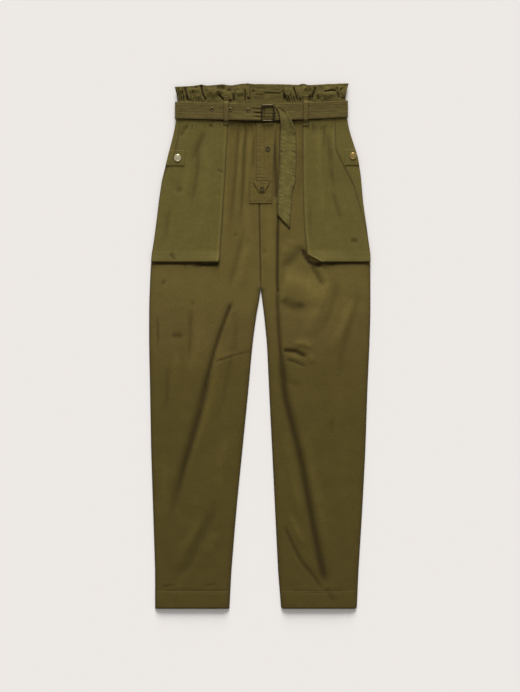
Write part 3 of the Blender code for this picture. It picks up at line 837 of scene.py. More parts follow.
@dataclass
class Leg:
    """One trouser leg: its front, which shows, and its plain back on the table."""

    side: str
    folds: tuple[Fold, ...]
    columns: int = 74
    rows: int = 324
    edge_level: float = 1.7  # where the front turns down to meet the back
    crown: float = 5.2  # how far the middle stands above that
    roll: float = 17.0  # how far in from the seam the front still rises
    crotch: float = 674.6
    hem: float = 36.0
    waist_level: float = 5.7
    corner: float = 0.8  # how round the hem's corners are
    pattern: Pattern = field(init=False)
    ups: Points = field(init=False)
    outer: Points = field(init=False)
    inner: Points = field(init=False)

    def __post_init__(self) -> None:
        """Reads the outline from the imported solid."""
        self.pattern = Pattern(f"leg_front_{self.side}")
        self.ups = np.linspace(0.0, 1030.0, 516)
        low, high = self.pattern.line(self.ups, soften=5)
        self.outer, self.inner = (low, high) if self.side == "right" else (high, low)

    def edges(self, up: Points) -> tuple[Points, Points]:
        """The outer and inner edges at these heights."""
        return np.interp(up, self.ups, self.outer), np.interp(up, self.ups, self.inner)

    def surface(self, x: Points, up: Points) -> tuple[Points, Points]:
        """The front's height and fold shade.

        Args:
            x: places across.
            up: places along.
        Returns:
            the height of the face, and its painted shade and highlight.
        """
        outer, inner = self.edges(up)
        sewn = np.maximum(0.0, up - self.crotch + 10.0) * 0.9
        off_outer = rounded(np.abs(x - outer), self.roll)
        off_inner = rounded(np.abs(x - inner) + sewn, self.roll)
        at_hem = mix(1.12, 1.0, ramp(up, 0.0, 90.0)) * mix(0.6, 1.0, rounded(up, 4.0))
        to_waist = ramp(up, 955.0, 1005.0)
        body = off_outer * off_inner * at_hem
        rise, shade = creased(self.folds, x, up)
        waves = 0.55 * ripple(x, up, 74.0, 3.1 if self.side == "right" else 9.7)
        waves = waves + 0.16 * ripple(x, up, 21.0, 5.3)
        seam = -0.9 * bell(np.abs(x - inner), 2.4) * ramp(up, self.crotch, self.crotch + 20.0)
        stitched = groove(up - self.hem, 1.8, 0.42) * body
        slack = body * (1.0 - to_waist)
        near = np.minimum(np.abs(x - outer), np.abs(x - inner) + sewn)
        # Painted shade where the front turns down at its edges and along the centre seam.
        edge_painted_shade = 0.5 * bell(near, 1.7) + 0.22 * bell(near, 6.0)
        seam_painted_shade = 0.75 * bell(np.abs(x - inner), 1.5) * ramp(up, self.crotch, self.crotch + 12.0)
        shade = shade * body + np.maximum(edge_painted_shade, seam_painted_shade)
        # Painted shadow just below the belt.
        shade = mix(shade, 1.0, under_belt(x, up))
        free = np.maximum(self.crown * body + (rise + waves) * slack + seam, 0.0)
        turned = 0.3 * (1.0 - ramp(up, self.hem - 1.0, self.hem + 1.0)) * body
        at_waist = self.waist_level - self.edge_level + 0.3 * rise
        return self.edge_level + mix(free, at_waist, to_waist) + stitched + turned, shade

    def grid(self, rows: int, columns: int, amount: float) -> tuple[Points, Points]:
        """Places over the whole panel, rows from hem to waist and columns from outer to inner edge.

        Args:
            rows: steps along the leg.
            columns: steps across it.
            amount: how close they stand at the edges.
        Returns:
            the places across and along.
        """
        nominal = np.linspace(0.0, 1030.0, rows + 1)
        nominal[1:4] = (1.2, 2.8, 5.0)
        shares = crowded_ends(columns, amount)
        outer, inner = self.edges(nominal)
        pulled = self.corner * (1.0 - rounded(nominal, self.corner)) * np.sign(inner - outer)
        outer, inner = outer + pulled, inner - pulled
        if self.side == "left":
            outer, inner = inner, outer
        x = between(outer, inner, shares)
        top = np.interp(x[-1], *self.waist_line())
        up = nominal[:, None] + (top[None, :] - 1030.0) * ramp(nominal, 985.0, 1030.0)[:, None]
        return x, up

    def waist_line(self) -> tuple[Points, Points]:
        """Where the panel ends under the belt, as places across and heights.

        Returns:
            the places across and the heights.
        """
        low, high = self.pattern.box()
        near = np.linspace(max(low[0], -172.0) + 0.5, min(high[0], 178.0) - 0.5, 60)
        return near, self.pattern.line(near, axis=0)[1]

    def build(self, wardrobe: Wardrobe) -> None:
        """Sews the front and the back.

        Args:
            wardrobe: the finishes.
        """
        x, up = self.grid(self.rows, self.columns, 0.62)
        z, shade = self.surface(x, up)
        front = sewn_cloth(f"front_panel_{self.side}", np.stack([x, up, z], axis=2), wardrobe.twill,
                           shade=shade)
        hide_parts(f"leg_front_{self.side}")
        x, up = self.grid(110, 26, 0.5)
        lift = 3.4 * ramp(up, 985.0, 1008.0)
        outer, inner = self.edges(up)
        near = np.minimum(np.abs(x - outer), np.abs(x - inner) + np.maximum(0.0, up - self.crotch))
        curl = 0.35 * bell(near, 2.0)
        back = sewn_cloth(f"back_panel_{self.side}", np.stack([x, up, 0.72 + lift + curl], axis=2),
                          wardrobe.twill)
        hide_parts(f"leg_back_{self.side}")

    def stitch(self, thread: Material) -> None:
        """Sews the hem.

        Args:
            thread: the thread's finish.
        """
        sign = -1.0 if self.side == "right" else 1.0
        outer, inner = self.edges(np.array([self.hem]))
        hem = Stitching(f"hem_stitching_{self.side}", thread)
        start, end = float(outer[0]) - sign * 3.0, float(inner[0]) + sign * 3.0
        hem.run([(mix(start, end, t), self.hem) for t in (0.0, 0.5, 1.0)])
        hem.sew()


# Each fold's last number is painted shade in its trough, or, below 0, a painted highlight on its ridge.
RIGHT_FOLDS = (
    # Where the pocket's free edge keeps the light off
    Fold(((-230, 723.4), (-180, 723), (-128, 723.2)), -0.8, 2, 2.2, 0.01, 0.05, 1.5),
    Fold(((-138, 722.6), (-112, 720.8), (-86.5, 721.8)), -1.6, 3.6, 3.4, 0.15, 0.02, 1.8),
    # The long crease from the thigh to the shin, sharp where it starts
    Fold(((-57, 645), (-72, 609), (-86, 570), (-98, 532), (-109, 487), (-120, 440), (-128, 410)), -3, 3.6,
         4.4, 0.08, 0.25, 0.85),
    Fold(((-100, 520), (-117, 445), (-132, 387), (-147, 336), (-158, 300), (-170, 252), (-185, 194),
         (-196, 156)), -2.8, 6.5, 9, 0.2, 0.42, 0.78),
    Fold(((-80, 560), (-90, 500), (-101, 448), (-118, 385), (-134, 330), (-148, 270)), 1.8, 9, 9, 0.2, 0.4,
         -0.32),
    Fold(((-48, 622), (-52, 557), (-67, 487), (-78, 430), (-95, 370)), -1.4, 6, 6, 0.2, 0.4, 0.24),
    Fold(((-124, 620), (-128, 560), (-138, 500), (-150, 440)), 1.6, 14, 14, 0.3, 0.4, -0.26),
    Fold(((-145, 640), (-145, 570), (-148, 500)), -1.5, 3.6, 4.2, 0.3, 0.4, 0.4),
    Fold(((-215, 616), (-213, 564), (-216, 536)), -1, 3.2, 3.2, 0.3, 0.4, 0.4),
    Fold(((-192, 514), (-195, 440), (-198, 400)), -1.2, 5, 5, 0.3, 0.4, 0.28),
    Fold(((-176, 540), (-178, 450)), 1, 8, 8, 0.3, 0.4, -0.2),
    Fold(((-188, 572), (-172, 570), (-158, 568)), -1.4, 5.5, 6.5, 0.3, 0.3, 0.42),
    Fold(((-206, 683), (-198, 682)), -1.2, 4.5, 5.5, 0.3, 0.3, 0.5),
    Fold(((-146, 640), (-136, 637)), -1, 5, 6, 0.3, 0.3, 0.3),
    Fold(((-158, 723), (-153, 708)), -1, 3, 3, 0.1, 0.4, 0.3),
    Fold(((-142, 718), (-118, 716)), -1, 2.5, 3.5, 0.2, 0.3, 0.3),
    Fold(((-96, 516), (-70, 525), (-48, 532), (-16, 539)), -0.9, 1.7, 1.7, 0.1, 0.1, 0.5),
    Fold(((-94, 521), (-70, 530), (-48, 537)), 0.6, 3.2, 3.2, 0.2, 0.2, -0.25),
    # Up to the crotch and the belt, between the pocket and the fly
    Fold(((-32, 795), (-46, 737), (-60, 686), (-69, 652)), -1.3, 4.5, 5.5, 0.3, 0.3, 0.26),
    Fold(((-24, 770), (-36, 706), (-49, 656)), 1.4, 8, 8, 0.3, 0.3, -0.22),
    Fold(((-53, 785), (-50, 779)), -1, 4, 4, 0.3, 0.3, 0.35),
    Fold(((-67, 985), (-70, 900), (-73, 808), (-77, 731)), 0.8, 4, 4, 0.2, 0.2, -0.24),
    Fold(((-45, 1016), (-46, 986), (-51, 906), (-59, 831), (-64, 770)), -1.6, 3.8, 4.2, 0.05, 0.4, 0.42),
    Fold(((-37, 1008), (-41, 960), (-45, 895), (-54, 831)), 1.4, 4.2, 4.2, 0.2, 0.4, -0.34),
    Fold(((-31, 1015), (-29, 1000), (-33, 960), (-35, 895), (-39, 831), (-44, 780)), -1.6, 2.8, 3, 0.05, 0.4,
         0.55),
    Fold(((-19, 1005), (-21, 975), (-26, 906), (-29, 842)), 1.3, 4.4, 4.4, 0.2, 0.4, -0.32),
    Fold(((-12, 1000), (-14, 950), (-15, 906)), -1.2, 2.6, 2.6, 0.2, 0.3, 0.36),
    Fold(((-30, 850), (-26, 800), (-18, 745)), 1, 8, 8, 0.3, 0.4, -0.2),
    Fold(((-59, 1017), (-58, 985)), -1.4, 3, 3, 0.02, 0.5, 0.4),
    *fine_pleats(-64, -46, 4, 1000, 1017, -1.5, 0.9),
    *fine_pleats(-39, -18, 4, 995, 1018, 2, 1),
    # Towards the hem
    Fold(((-84, 240), (-103, 187), (-125, 142), (-150, 91), (-176, 62), (-208, 42)), -1.7, 9, 12, 0.35, 0.35,
         0.3),
    Fold(((-208, 45), (-190, 49), (-172, 50)), -0.8, 2.4, 2.8, 0.1, 0.4, 0.4),
    Fold(((-122, 47), (-104, 50), (-88, 50)), -0.8, 2.4, 2.8, 0.3, 0.3, 0.3),
    Fold(((-118, 196), (-142, 150), (-170, 104)), 1.2, 8, 8, 0.3, 0.4, -0.22),
    Fold(((-92, 162), (-112, 104)), 1, 9, 9, 0.3, 0.4, -0.18),
    Fold(((-196, 330), (-200, 240), (-204, 150)), 0.9, 9, 9, 0.3, 0.4, -0.12),
    Fold(((-70, 380), (-82, 290), (-96, 210)), 1, 13, 13, 0.3, 0.4, -0.16),
    Fold(((-205, 38), (-100, 37), (-58, 38)), -0.6, 1.6, 1.6, 0.1, 0.1, 0.25),
)

# Each fold's last number is painted shade in its trough, or, below 0, a painted highlight on its ridge.
LEFT_FOLDS = (
    # Where the pocket's free edge keeps the light off
    Fold(((90, 752), (96, 737), (105, 725), (118, 719.5), (132, 721)), -1.8, 3.2, 4.2, 0.03, 0.2, 1.9),
    Fold(((116, 723), (170, 723.4), (232, 724)), -0.8, 2.2, 2, 0.01, 0.02, 1.5),
    Fold(((138, 722), (160, 722)), -0.8, 2.8, 2.8, 0.2, 0.3, 1.2),
    # The crease that drops from the fly, then slants across the shin to the hem
    Fold(((39, 850), (36.5, 782), (35.8, 686), (37.5, 655)), -2.6, 3.2, 2.6, 0.05, 0.06, 1.05),
    Fold(((36.5, 672), (36.5, 634), (38.5, 590), (42, 544), (46, 500), (53, 448)), -3, 4.6, 4.2, 0.1, 0.3,
         0.7),
    Fold(((41, 560), (46, 500), (53, 440), (68, 380), (81, 329), (91, 284), (100, 232), (112, 168),
         (122, 117), (131, 76), (140, 44)), -3, 8.5, 7.5, 0.14, 0.06, 0.84),
    Fold(((138, 44), (146, 26), (158, 10)), -1.2, 4.5, 5.5, 0.15, 0.4, 0.22),
    Fold(((50, 380), (62, 310), (76, 240), (90, 180)), 1.6, 10, 10, 0.3, 0.3, -0.2),
    Fold(((88, 380), (103, 310), (118, 230), (134, 150), (146, 90)), 1.6, 11, 11, 0.25, 0.3, -0.26),
    Fold(((48, 184), (60, 152), (72, 125), (88, 96), (112, 68), (136, 34)), -1.8, 3.6, 4.4, 0.2, 0.15, 0.5),
    Fold(((60, 205), (78, 160), (98, 125)), 1.3, 6.5, 6.5, 0.3, 0.3, -0.34),
    Fold(((148, 400), (151, 352)), -0.9, 5.5, 5.5, 0.3, 0.4, 0.2),
    Fold(((172, 360), (178, 250)), 0.8, 10, 10, 0.3, 0.4, -0.12),
    # The bulge over the thigh and the folds under it
    Fold(((48, 687), (74, 684), (101, 673), (119, 650), (124, 622)), 1.8, 20, 24, 0.06, 0.35, -0.5),
    Fold(((116, 630), (110, 600), (100, 566)), 1.2, 16, 16, 0.3, 0.4, -0.34),
    Fold(((132, 705), (134, 640), (128, 585), (118, 535)), 0.8, 38, 36, 0.3, 0.4, -0.2),
    Fold(((44, 650), (58, 634), (78, 628), (104, 624)), -2.6, 11, 11, 0.2, 0.35, 0.42),
    Fold(((74, 636), (94, 631)), -1, 7, 7, 0.3, 0.3, 0.5),
    Fold(((94, 762), (68, 731), (40, 705)), -1.8, 10, 9, 0.2, 0.35, 0.4),
    Fold(((68, 775), (48, 738)), 1.2, 9, 9, 0.3, 0.3, -0.14),
    Fold(((108, 718), (118, 700), (126, 686), (138, 671)), -2.2, 4, 4, 0.1, 0.3, 0.6),
    Fold(((124, 716), (136, 698), (142, 684)), 1.4, 5, 5, 0.15, 0.3, -0.3),
    Fold(((140, 700), (136, 668), (122, 628), (101, 578)), 2.1, 10, 10, 0.2, 0.4, -0.42),
    Fold(((161, 700), (158, 656), (145, 615), (129, 577), (110, 557)), -2, 8, 8, 0.3, 0.4, 0.3),
    Fold(((196, 650), (178, 600), (160, 562), (138, 530)), 2, 11, 11, 0.25, 0.4, -0.4),
    Fold(((209, 670), (196, 620), (182, 570), (170, 520), (161, 450)), -1.5, 8, 8, 0.25, 0.4, 0.26),
    Fold(((48, 541), (74, 539), (100, 526)), -2.8, 3.4, 4.2, 0.08, 0.2, 0.95),
    Fold(((70, 556), (92, 554), (112, 546)), 1.8, 7, 6, 0.2, 0.3, -0.22),
    Fold(((104, 532), (110, 522), (104, 513)), 1.4, 3.6, 3.6, 0.2, 0.3, -0.3),
    Fold(((55, 522), (74, 516), (97, 507)), -1.5, 2, 2.2, 0.1, 0.15, 0.75),
    Fold(((60, 529), (84, 522)), 0.8, 2.6, 2.6, 0.2, 0.3, -0.2),
    Fold(((52, 480), (66, 470), (92, 466)), -1, 8, 8, 0.3, 0.4, 0.18),
    # Beside the fly and the tail, and painted shadow under the tail's edges
    Fold(((42.6, 1012), (41.4, 950), (39, 895), (37.2, 850), (36.4, 826)), -0.5, 2, 2, 0.02, 0.05, 0.8),
    Fold(((35.5, 824), (48, 810), (62, 795)), -0.8, 2.2, 2.2, 0.02, 0.02, 1.5),
    Fold(((28, 1014), (30, 985), (33, 906), (34.5, 850)), -2, 3.6, 4, 0.05, 0.1, 0.75),
    Fold(((22, 840), (20, 760), (16, 700)), 1.2, 8, 8, 0.2, 0.3, -0.22),
    Fold(((8, 752), (11, 740)), -0.8, 4, 4, 0.3, 0.3, 0.2),
    Fold(((90, 1014), (88, 960), (84, 900), (78, 840)), -1.2, 4, 5, 0.1, 0.3, 0.2),
    Fold(((62, 840), (58, 800), (50, 770)), 1.2, 9, 9, 0.2, 0.4, -0.15),
    Fold(((64, 38), (120, 35), (178, 38)), -0.6, 1.6, 1.6, 0.1, 0.1, 0.25),
)


# The gathered waist


# Each fold's last number is painted shade in its trough, or, below 0, a painted highlight on its ridge.
RIGHT_FRILL = (
    *fine_pleats(-175.5, -163, 4, 1060, 1090, 4.5, 2),
    Fold(((-158, 1094), (-156, 1084), (-153.6, 1075), (-150, 1062)), -2.4, 2.6, 3.4, 0.05, 0.1, 0.75),
    Fold(((-92, 1084), (-84, 1076), (-76, 1074)), -1.4, 7, 7, 0.3, 0.3, 0.45),
    Fold(((-70, 1086), (-58, 1084)), -1.2, 4, 4, 0.3, 0.3, 0.4),
    Fold(((-160, 1080), (-146, 1070), (-134, 1066)), 1.2, 5, 5, 0.3, 0.3, -0.3),
    Fold(((-154, 1064.5), (-143, 1064)), -1.3, 1.8, 2, 0.1, 0.3, 0.6),
    Fold(((-141, 1085), (-140, 1077)), -1.2, 2.2, 2.2, 0.3, 0.3, 0.4),
    Fold(((-140, 1091.5), (-129, 1090.5)), -1, 1.5, 1.5, 0.3, 0.3, 0.4),
    Fold(((-149, 1083), (-134, 1085), (-128, 1083)), 1.5, 6.5, 6, 0.3, 0.3),
    *fine_pleats(-144, -124, 5, 1060, 1075, 1.5, 0.8),
    Fold(((-122.8, 1096), (-121.4, 1085), (-118.6, 1074), (-112, 1063)), -2.6, 1.7, 2.1, 0.05, 0.1, 0.85),
    Fold(((-112, 1086), (-98, 1080), (-90, 1072)), 1.8, 9, 8, 0.3, 0.3),
    Fold(((-92, 1091), (-82, 1089), (-73, 1090)), -1.5, 4, 4, 0.2, 0.2, 0.35),
    Fold(((-88, 1078), (-82, 1070.5), (-75, 1065)), -2.4, 1.9, 2.3, 0.15, 0.1, 0.85),
    Fold(((-66, 1072), (-64.5, 1069)), -1.8, 2, 2, 0.2, 0.2, 0.8),
    Fold(((-64, 1065), (-59, 1060)), -1.8, 2.2, 2.2, 0.2, 0.2, 0.7),
    Fold(((-55.6, 1081), (-54.6, 1060)), -1.6, 2.6, 2.6, 0.25, 0.1, 0.55),
    Fold(((-46, 1084), (-43, 1072)), 1.2, 5, 6, 0.3, 0.3),
    Fold(((-31.5, 1089), (-31, 1074), (-30.5, 1060)), -1.7, 1.9, 2.2, 0.15, 0.05, 0.6),
    Fold(((-24.6, 1071), (-24, 1065)), -1.7, 2.2, 2.2, 0.2, 0.2, 0.7),
)

# Each fold's last number is painted shade in its trough, or, below 0, a painted highlight on its ridge.
LEFT_FRILL = (
    Fold(((44.5, 1086), (49, 1076), (54, 1067), (60, 1058)), -2.8, 3.2, 4.2, 0.2, 0.03, 1),
    *fine_pleats(57.5, 79, 5, 1057, 1077, 6.5, 1.7),
    *fine_pleats(84, 92, 2, 1057, 1070, 4, 1.2),
    Fold(((69.5, 1092), (74, 1079), (77.5, 1068), (79.5, 1062)), -2.4, 1.6, 1.8, 0.1, 0.1, 0.75),
    Fold(((93, 1087), (100, 1084), (108, 1086)), -1.8, 6, 6, 0.2, 0.2, 0.35),
    Fold(((99.5, 1062), (102, 1070), (107.5, 1075)), -1.9, 1.8, 1.8, 0.1, 0.2, 0.7),
    Fold(((108.8, 1061), (109, 1073)), -1.8, 1.8, 2.2, 0.1, 0.2, 0.7),
    Fold(((116.5, 1092), (113, 1081), (109, 1070), (103, 1061)), -2, 2.6, 3.4, 0.1, 0.1, 0.75),
    Fold(((119.5, 1076), (123, 1064)), -1.4, 1.8, 1.8, 0.2, 0.1, 0.45),
    Fold(((132, 1082), (142.6, 1084), (151, 1085.3), (160, 1084)), -2.2, 1.2, 2.2, 0.15, 0.1, 0.8),
    Fold(((128, 1073), (142, 1076), (156, 1076)), 1.8, 6, 6, 0.3, 0.3),
    Fold(((160.5, 1092), (162.5, 1080), (165.3, 1067)), -1.8, 2.6, 3.4, 0.1, 0.1, 0.5),
    Fold(((167, 1083), (174, 1091)), -1.6, 1.8, 1.8, 0.15, 0.2, 0.6),
    Fold(((170.5, 1068), (179.5, 1070)), -1.3, 2, 2, 0.1, 0.1, 0.6),
    Fold(((171, 1077), (176, 1079)), 1.2, 4, 4, 0.3, 0.3),
)

# The frill's top edge: places across, and how high it stands there
FRILL_EDGE = (
    (-179, 1091.5), (-160, 1092), (-140, 1093.5), (-122, 1096.5), (-111, 1094), (-91, 1096), (-78, 1097),
    (-60, 1094.5), (-40, 1098), (-24, 1099), (-9, 1097), (15, 1097), (26, 1095), (41, 1097), (53, 1095),
    (67, 1095.5), (77, 1094), (87, 1098), (93, 1098), (100, 1095.5), (130, 1094.5), (145, 1098), (158, 1096),
    (172, 1098), (187, 1099))


@dataclass
class Waist:
    """The casing under the belt and the frill above it, gathered, with the smooth placket in the middle."""

    face: float = 7.0  # the front's level under the belt
    stand: float = 2.3  # how far the frill stands up past the belt
    frill_foot: float = 1064.0
    frill_top: float = 1096.0
    edge_wall: float = 0.9
    # The placket's sideways lines, and the dent at its corner, with painted shade in them
    lines: tuple[Fold, ...] = (
        Fold(((6, 1079), (24, 1079), (46, 1078)), -1.2, 1.2, 1.6, 0.1, 0.1, 0.6),
        Fold(((-10, 1075.4), (8, 1075)), -1, 1, 1, 0.1, 0.1, 0.6),
        Fold(((-18, 1084), (-10, 1081)), -1.4, 2.4, 2.4, 0.2, 0.3, 0.5),
        Fold(((-8, 1089), (14, 1088.4)), -0.8, 1.2, 1.2, 0.2, 0.2, 0.4),
        Fold(((20, 1086), (44, 1085)), -0.6, 1.2, 1.2, 0.2, 0.2, 0.3),
        Fold(((45.5, 1085), (46.5, 1079)), -1.4, 1.4, 1.4, 0.2, 0.2, 0.5))

    def flare(self, heights: Points, at_belt: float, at_top: float) -> Points:
        """A side edge, which stands out further at the top than at the belt.

        Args:
            heights: shares of the way up.
            at_belt: its place at the belt.
            at_top: its place at the top.
        Returns:
            its place at each height.
        """
        spread = np.clip((mix(1032.0, self.frill_top, heights) - self.frill_foot)
                         / (self.frill_top - self.frill_foot), 0.0, 1.0)
        return mix(at_belt, at_top, spread)

    def panel(self, name: str, node: str, folds: tuple[Fold, ...], ends: tuple[tuple[float, float], ...],
              wardrobe: Wardrobe) -> Piece:
        """Sews one gathered panel over its solid.

        Args:
            name: the piece's name.
            node: the solid it stands for.
            folds: its gathers.
            ends: the low and the high side edge, each at the belt and at the top.
            wardrobe: the finishes.
        Returns:
            the panel.
        """
        pattern = Pattern(node)
        low, high = pattern.box()
        heights = np.linspace(0.0, 1.0, 62)
        left, right = (self.flare(heights, *pair) for pair in ends)
        x = between(left, right, np.linspace(0.0, 1.0, 196))
        places = np.linspace(low[0] + 0.6, high[0] - 0.6, 180)
        bottom = np.interp(x[0], places, pattern.line(places, axis=0, soften=2)[0])
        edge = np.array(FRILL_EDGE)
        along = np.linspace(edge[0, 0], edge[-1, 0], 400)
        top = np.interp(x[-1], along, smoothed(np.interp(along, edge[:, 0], edge[:, 1]), 3))
        up = mix(bottom[None, :], top[None, :], heights[:, None])
        rise, shade = creased(folds, x, up)
        full = ramp(up, 1056.0, 1066.0)
        stand = self.stand * ramp(up, 1057.0, 1084.0) - 0.9 * ramp(up, 1086.0, 1098.0)
        waves = 1.5 * ripple(x, up * 0.6, 12.0, 2.0) + 0.7 * ripple(x, up * 0.6, 5.5, 8.0)
        sides = np.minimum(x - left[:, None], right[:, None] - x)
        z = self.face + stand + (rise + waves) * full - 1.2 * (1.0 - rounded(sides, 5.0)) * full
        z = z + groove(top[None, :] - up - 4.2, 0.9, 0.35)
        # Painted shade and highlight from the folds and the relief, and painted shade along the top and side
        # edges and just above the belt.
        shade = 1.15 * shade + hollows(z, 5, 0.5)
        edge_shade = 0.4 * bell(top[None, :] - up, 1.6) + 0.4 * bell(sides, 1.6)
        at_belt = 0.35 * (1.0 - ramp(up, 1057.0, 1062.0))
        return sewn_cloth(name, np.stack([x, up, z], axis=2), wardrobe.twill_frill_shaded,
                          wall=self.edge_wall, shade=(shade + edge_shade + at_belt) * full)

    def build(self, wardrobe: Wardrobe) -> None:
        """Sews the two gathered fronts, the placket between them and the back.

        Args:
            wardrobe: the finishes.
        """
        for side, folds, ends, size, area in (
                ("right", RIGHT_FRILL, ((-172.2, -178.6), (-20.7, -20.7)), (0.170, 0.068), 0.0105),
                ("left", LEFT_FRILL, ((48.7, 48.0), (178.4, 185.6)), (0.150, 0.068), 0.0092)):
            piece = self.panel(f"gathered_front_{side}", f"waist_front_{side}", folds, ends, wardrobe)
            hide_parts(f"waist_front_{side}")
        self.placket(wardrobe)
        self.back(wardrobe)

    def placket(self, wardrobe: Wardrobe) -> None:
        """Sews the smooth double placket, with its buttonhole and its few sideways lines.

        Args:
            wardrobe: the finishes.
        """
        pattern = Pattern("waist_placket")
        low, high = pattern.box()
        columns, rows = 46, 44
        places = np.linspace(low[0] + 0.5, high[0] - 0.5, columns + 1)
        bottom = pattern.line(places, axis=0)[0]
        edge = np.array(FRILL_EDGE)
        top = np.interp(places, edge[:, 0], edge[:, 1])
        x = np.broadcast_to(np.linspace(low[0], high[0], columns + 1)[None, :], (rows + 1, columns + 1))
        up = mix(bottom[None, :], top[None, :], np.linspace(0.0, 1.0, rows + 1)[:, None])
        z = np.full(x.shape, 7.4) + 1.6 * ramp(up, 1058.0, 1085.0) + 0.35 * ripple(x * 0.6, up * 1.6, 12.0, 6.0)
        z = z - 0.7 * bell(np.minimum(x - low[0], high[0] - x), 2.0)
        rise, shade = creased(self.lines, x, up)
        z = z + rise
        # Painted shade in the lines and hollows and along the top edge, a painted highlight on the ridges.
        shade = np.maximum(shade, 0.0) + hollows(z, 4, 0.35) + 0.35 * bell(top[None, :] - up, 1.6)
        piece = sewn_cloth("placket_top", np.stack([x, up, z], axis=2), wardrobe.twill_frill_shaded, shade=shade)
        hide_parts("waist_placket")

    def back(self, wardrobe: Wardrobe) -> None:
        """Sews the back of the casing and frill, with plain even gathers.

        Args:
            wardrobe: the finishes.
        """
        pattern = Pattern("waist_back")
        low, high = pattern.box()
        columns, rows = 300, 30
        places = np.linspace(-171.0, 177.0, 120)
        bottom, top = pattern.line(places, axis=0, soften=3)
        heights = np.linspace(0.0, 1.0, rows + 1)
        left, right = self.flare(heights, -172.0, low[0] + 0.4), self.flare(heights, 178.0, high[0] - 0.4)
        shares = np.linspace(0.0, 1.0, columns + 1)
        x = between(left, right, shares)
        bottoms, tops = np.interp(x[0], places, bottom), np.interp(x[-1], places, top)
        up = mix(bottoms[None, :], tops[None, :], heights[:, None])
        wave = np.abs(np.sin(math.pi * (shares * 23.0 + 0.35 * np.sin(shares * 31.0)))) ** 0.7
        drop = 3.2 * ramp(up, 1064.0, 1096.0)
        z = 4.3 - drop + wave[None, :] * mix(0.4, 2.2, ramp(up, 1058.0, 1092.0))
        piece = sewn_cloth("gathered_back", np.stack([x, up, z], axis=2), wardrobe.twill_frill_shaded)
        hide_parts("waist_back")

    def stitch(self, thread: Material) -> None:
        """Sews the buttonhole.

        Args:
            thread: the thread's finish.
        """
        hole = Stitching("buttonhole_stitching", thread, pitch=1.0, length=0.9, radius=0.42)
        for shift in (-1.6, 1.6):
            hole.run([(-10.0, 1070.5 + shift), (7.0, 1070.5 + shift)])
        hole.bartack(-10.0, 1070.5, 4.4, 1.6, upright=True)
        hole.bartack(7.5, 1070.5, 4.4, 1.6, upright=True)
        hole.sew()


# Pockets


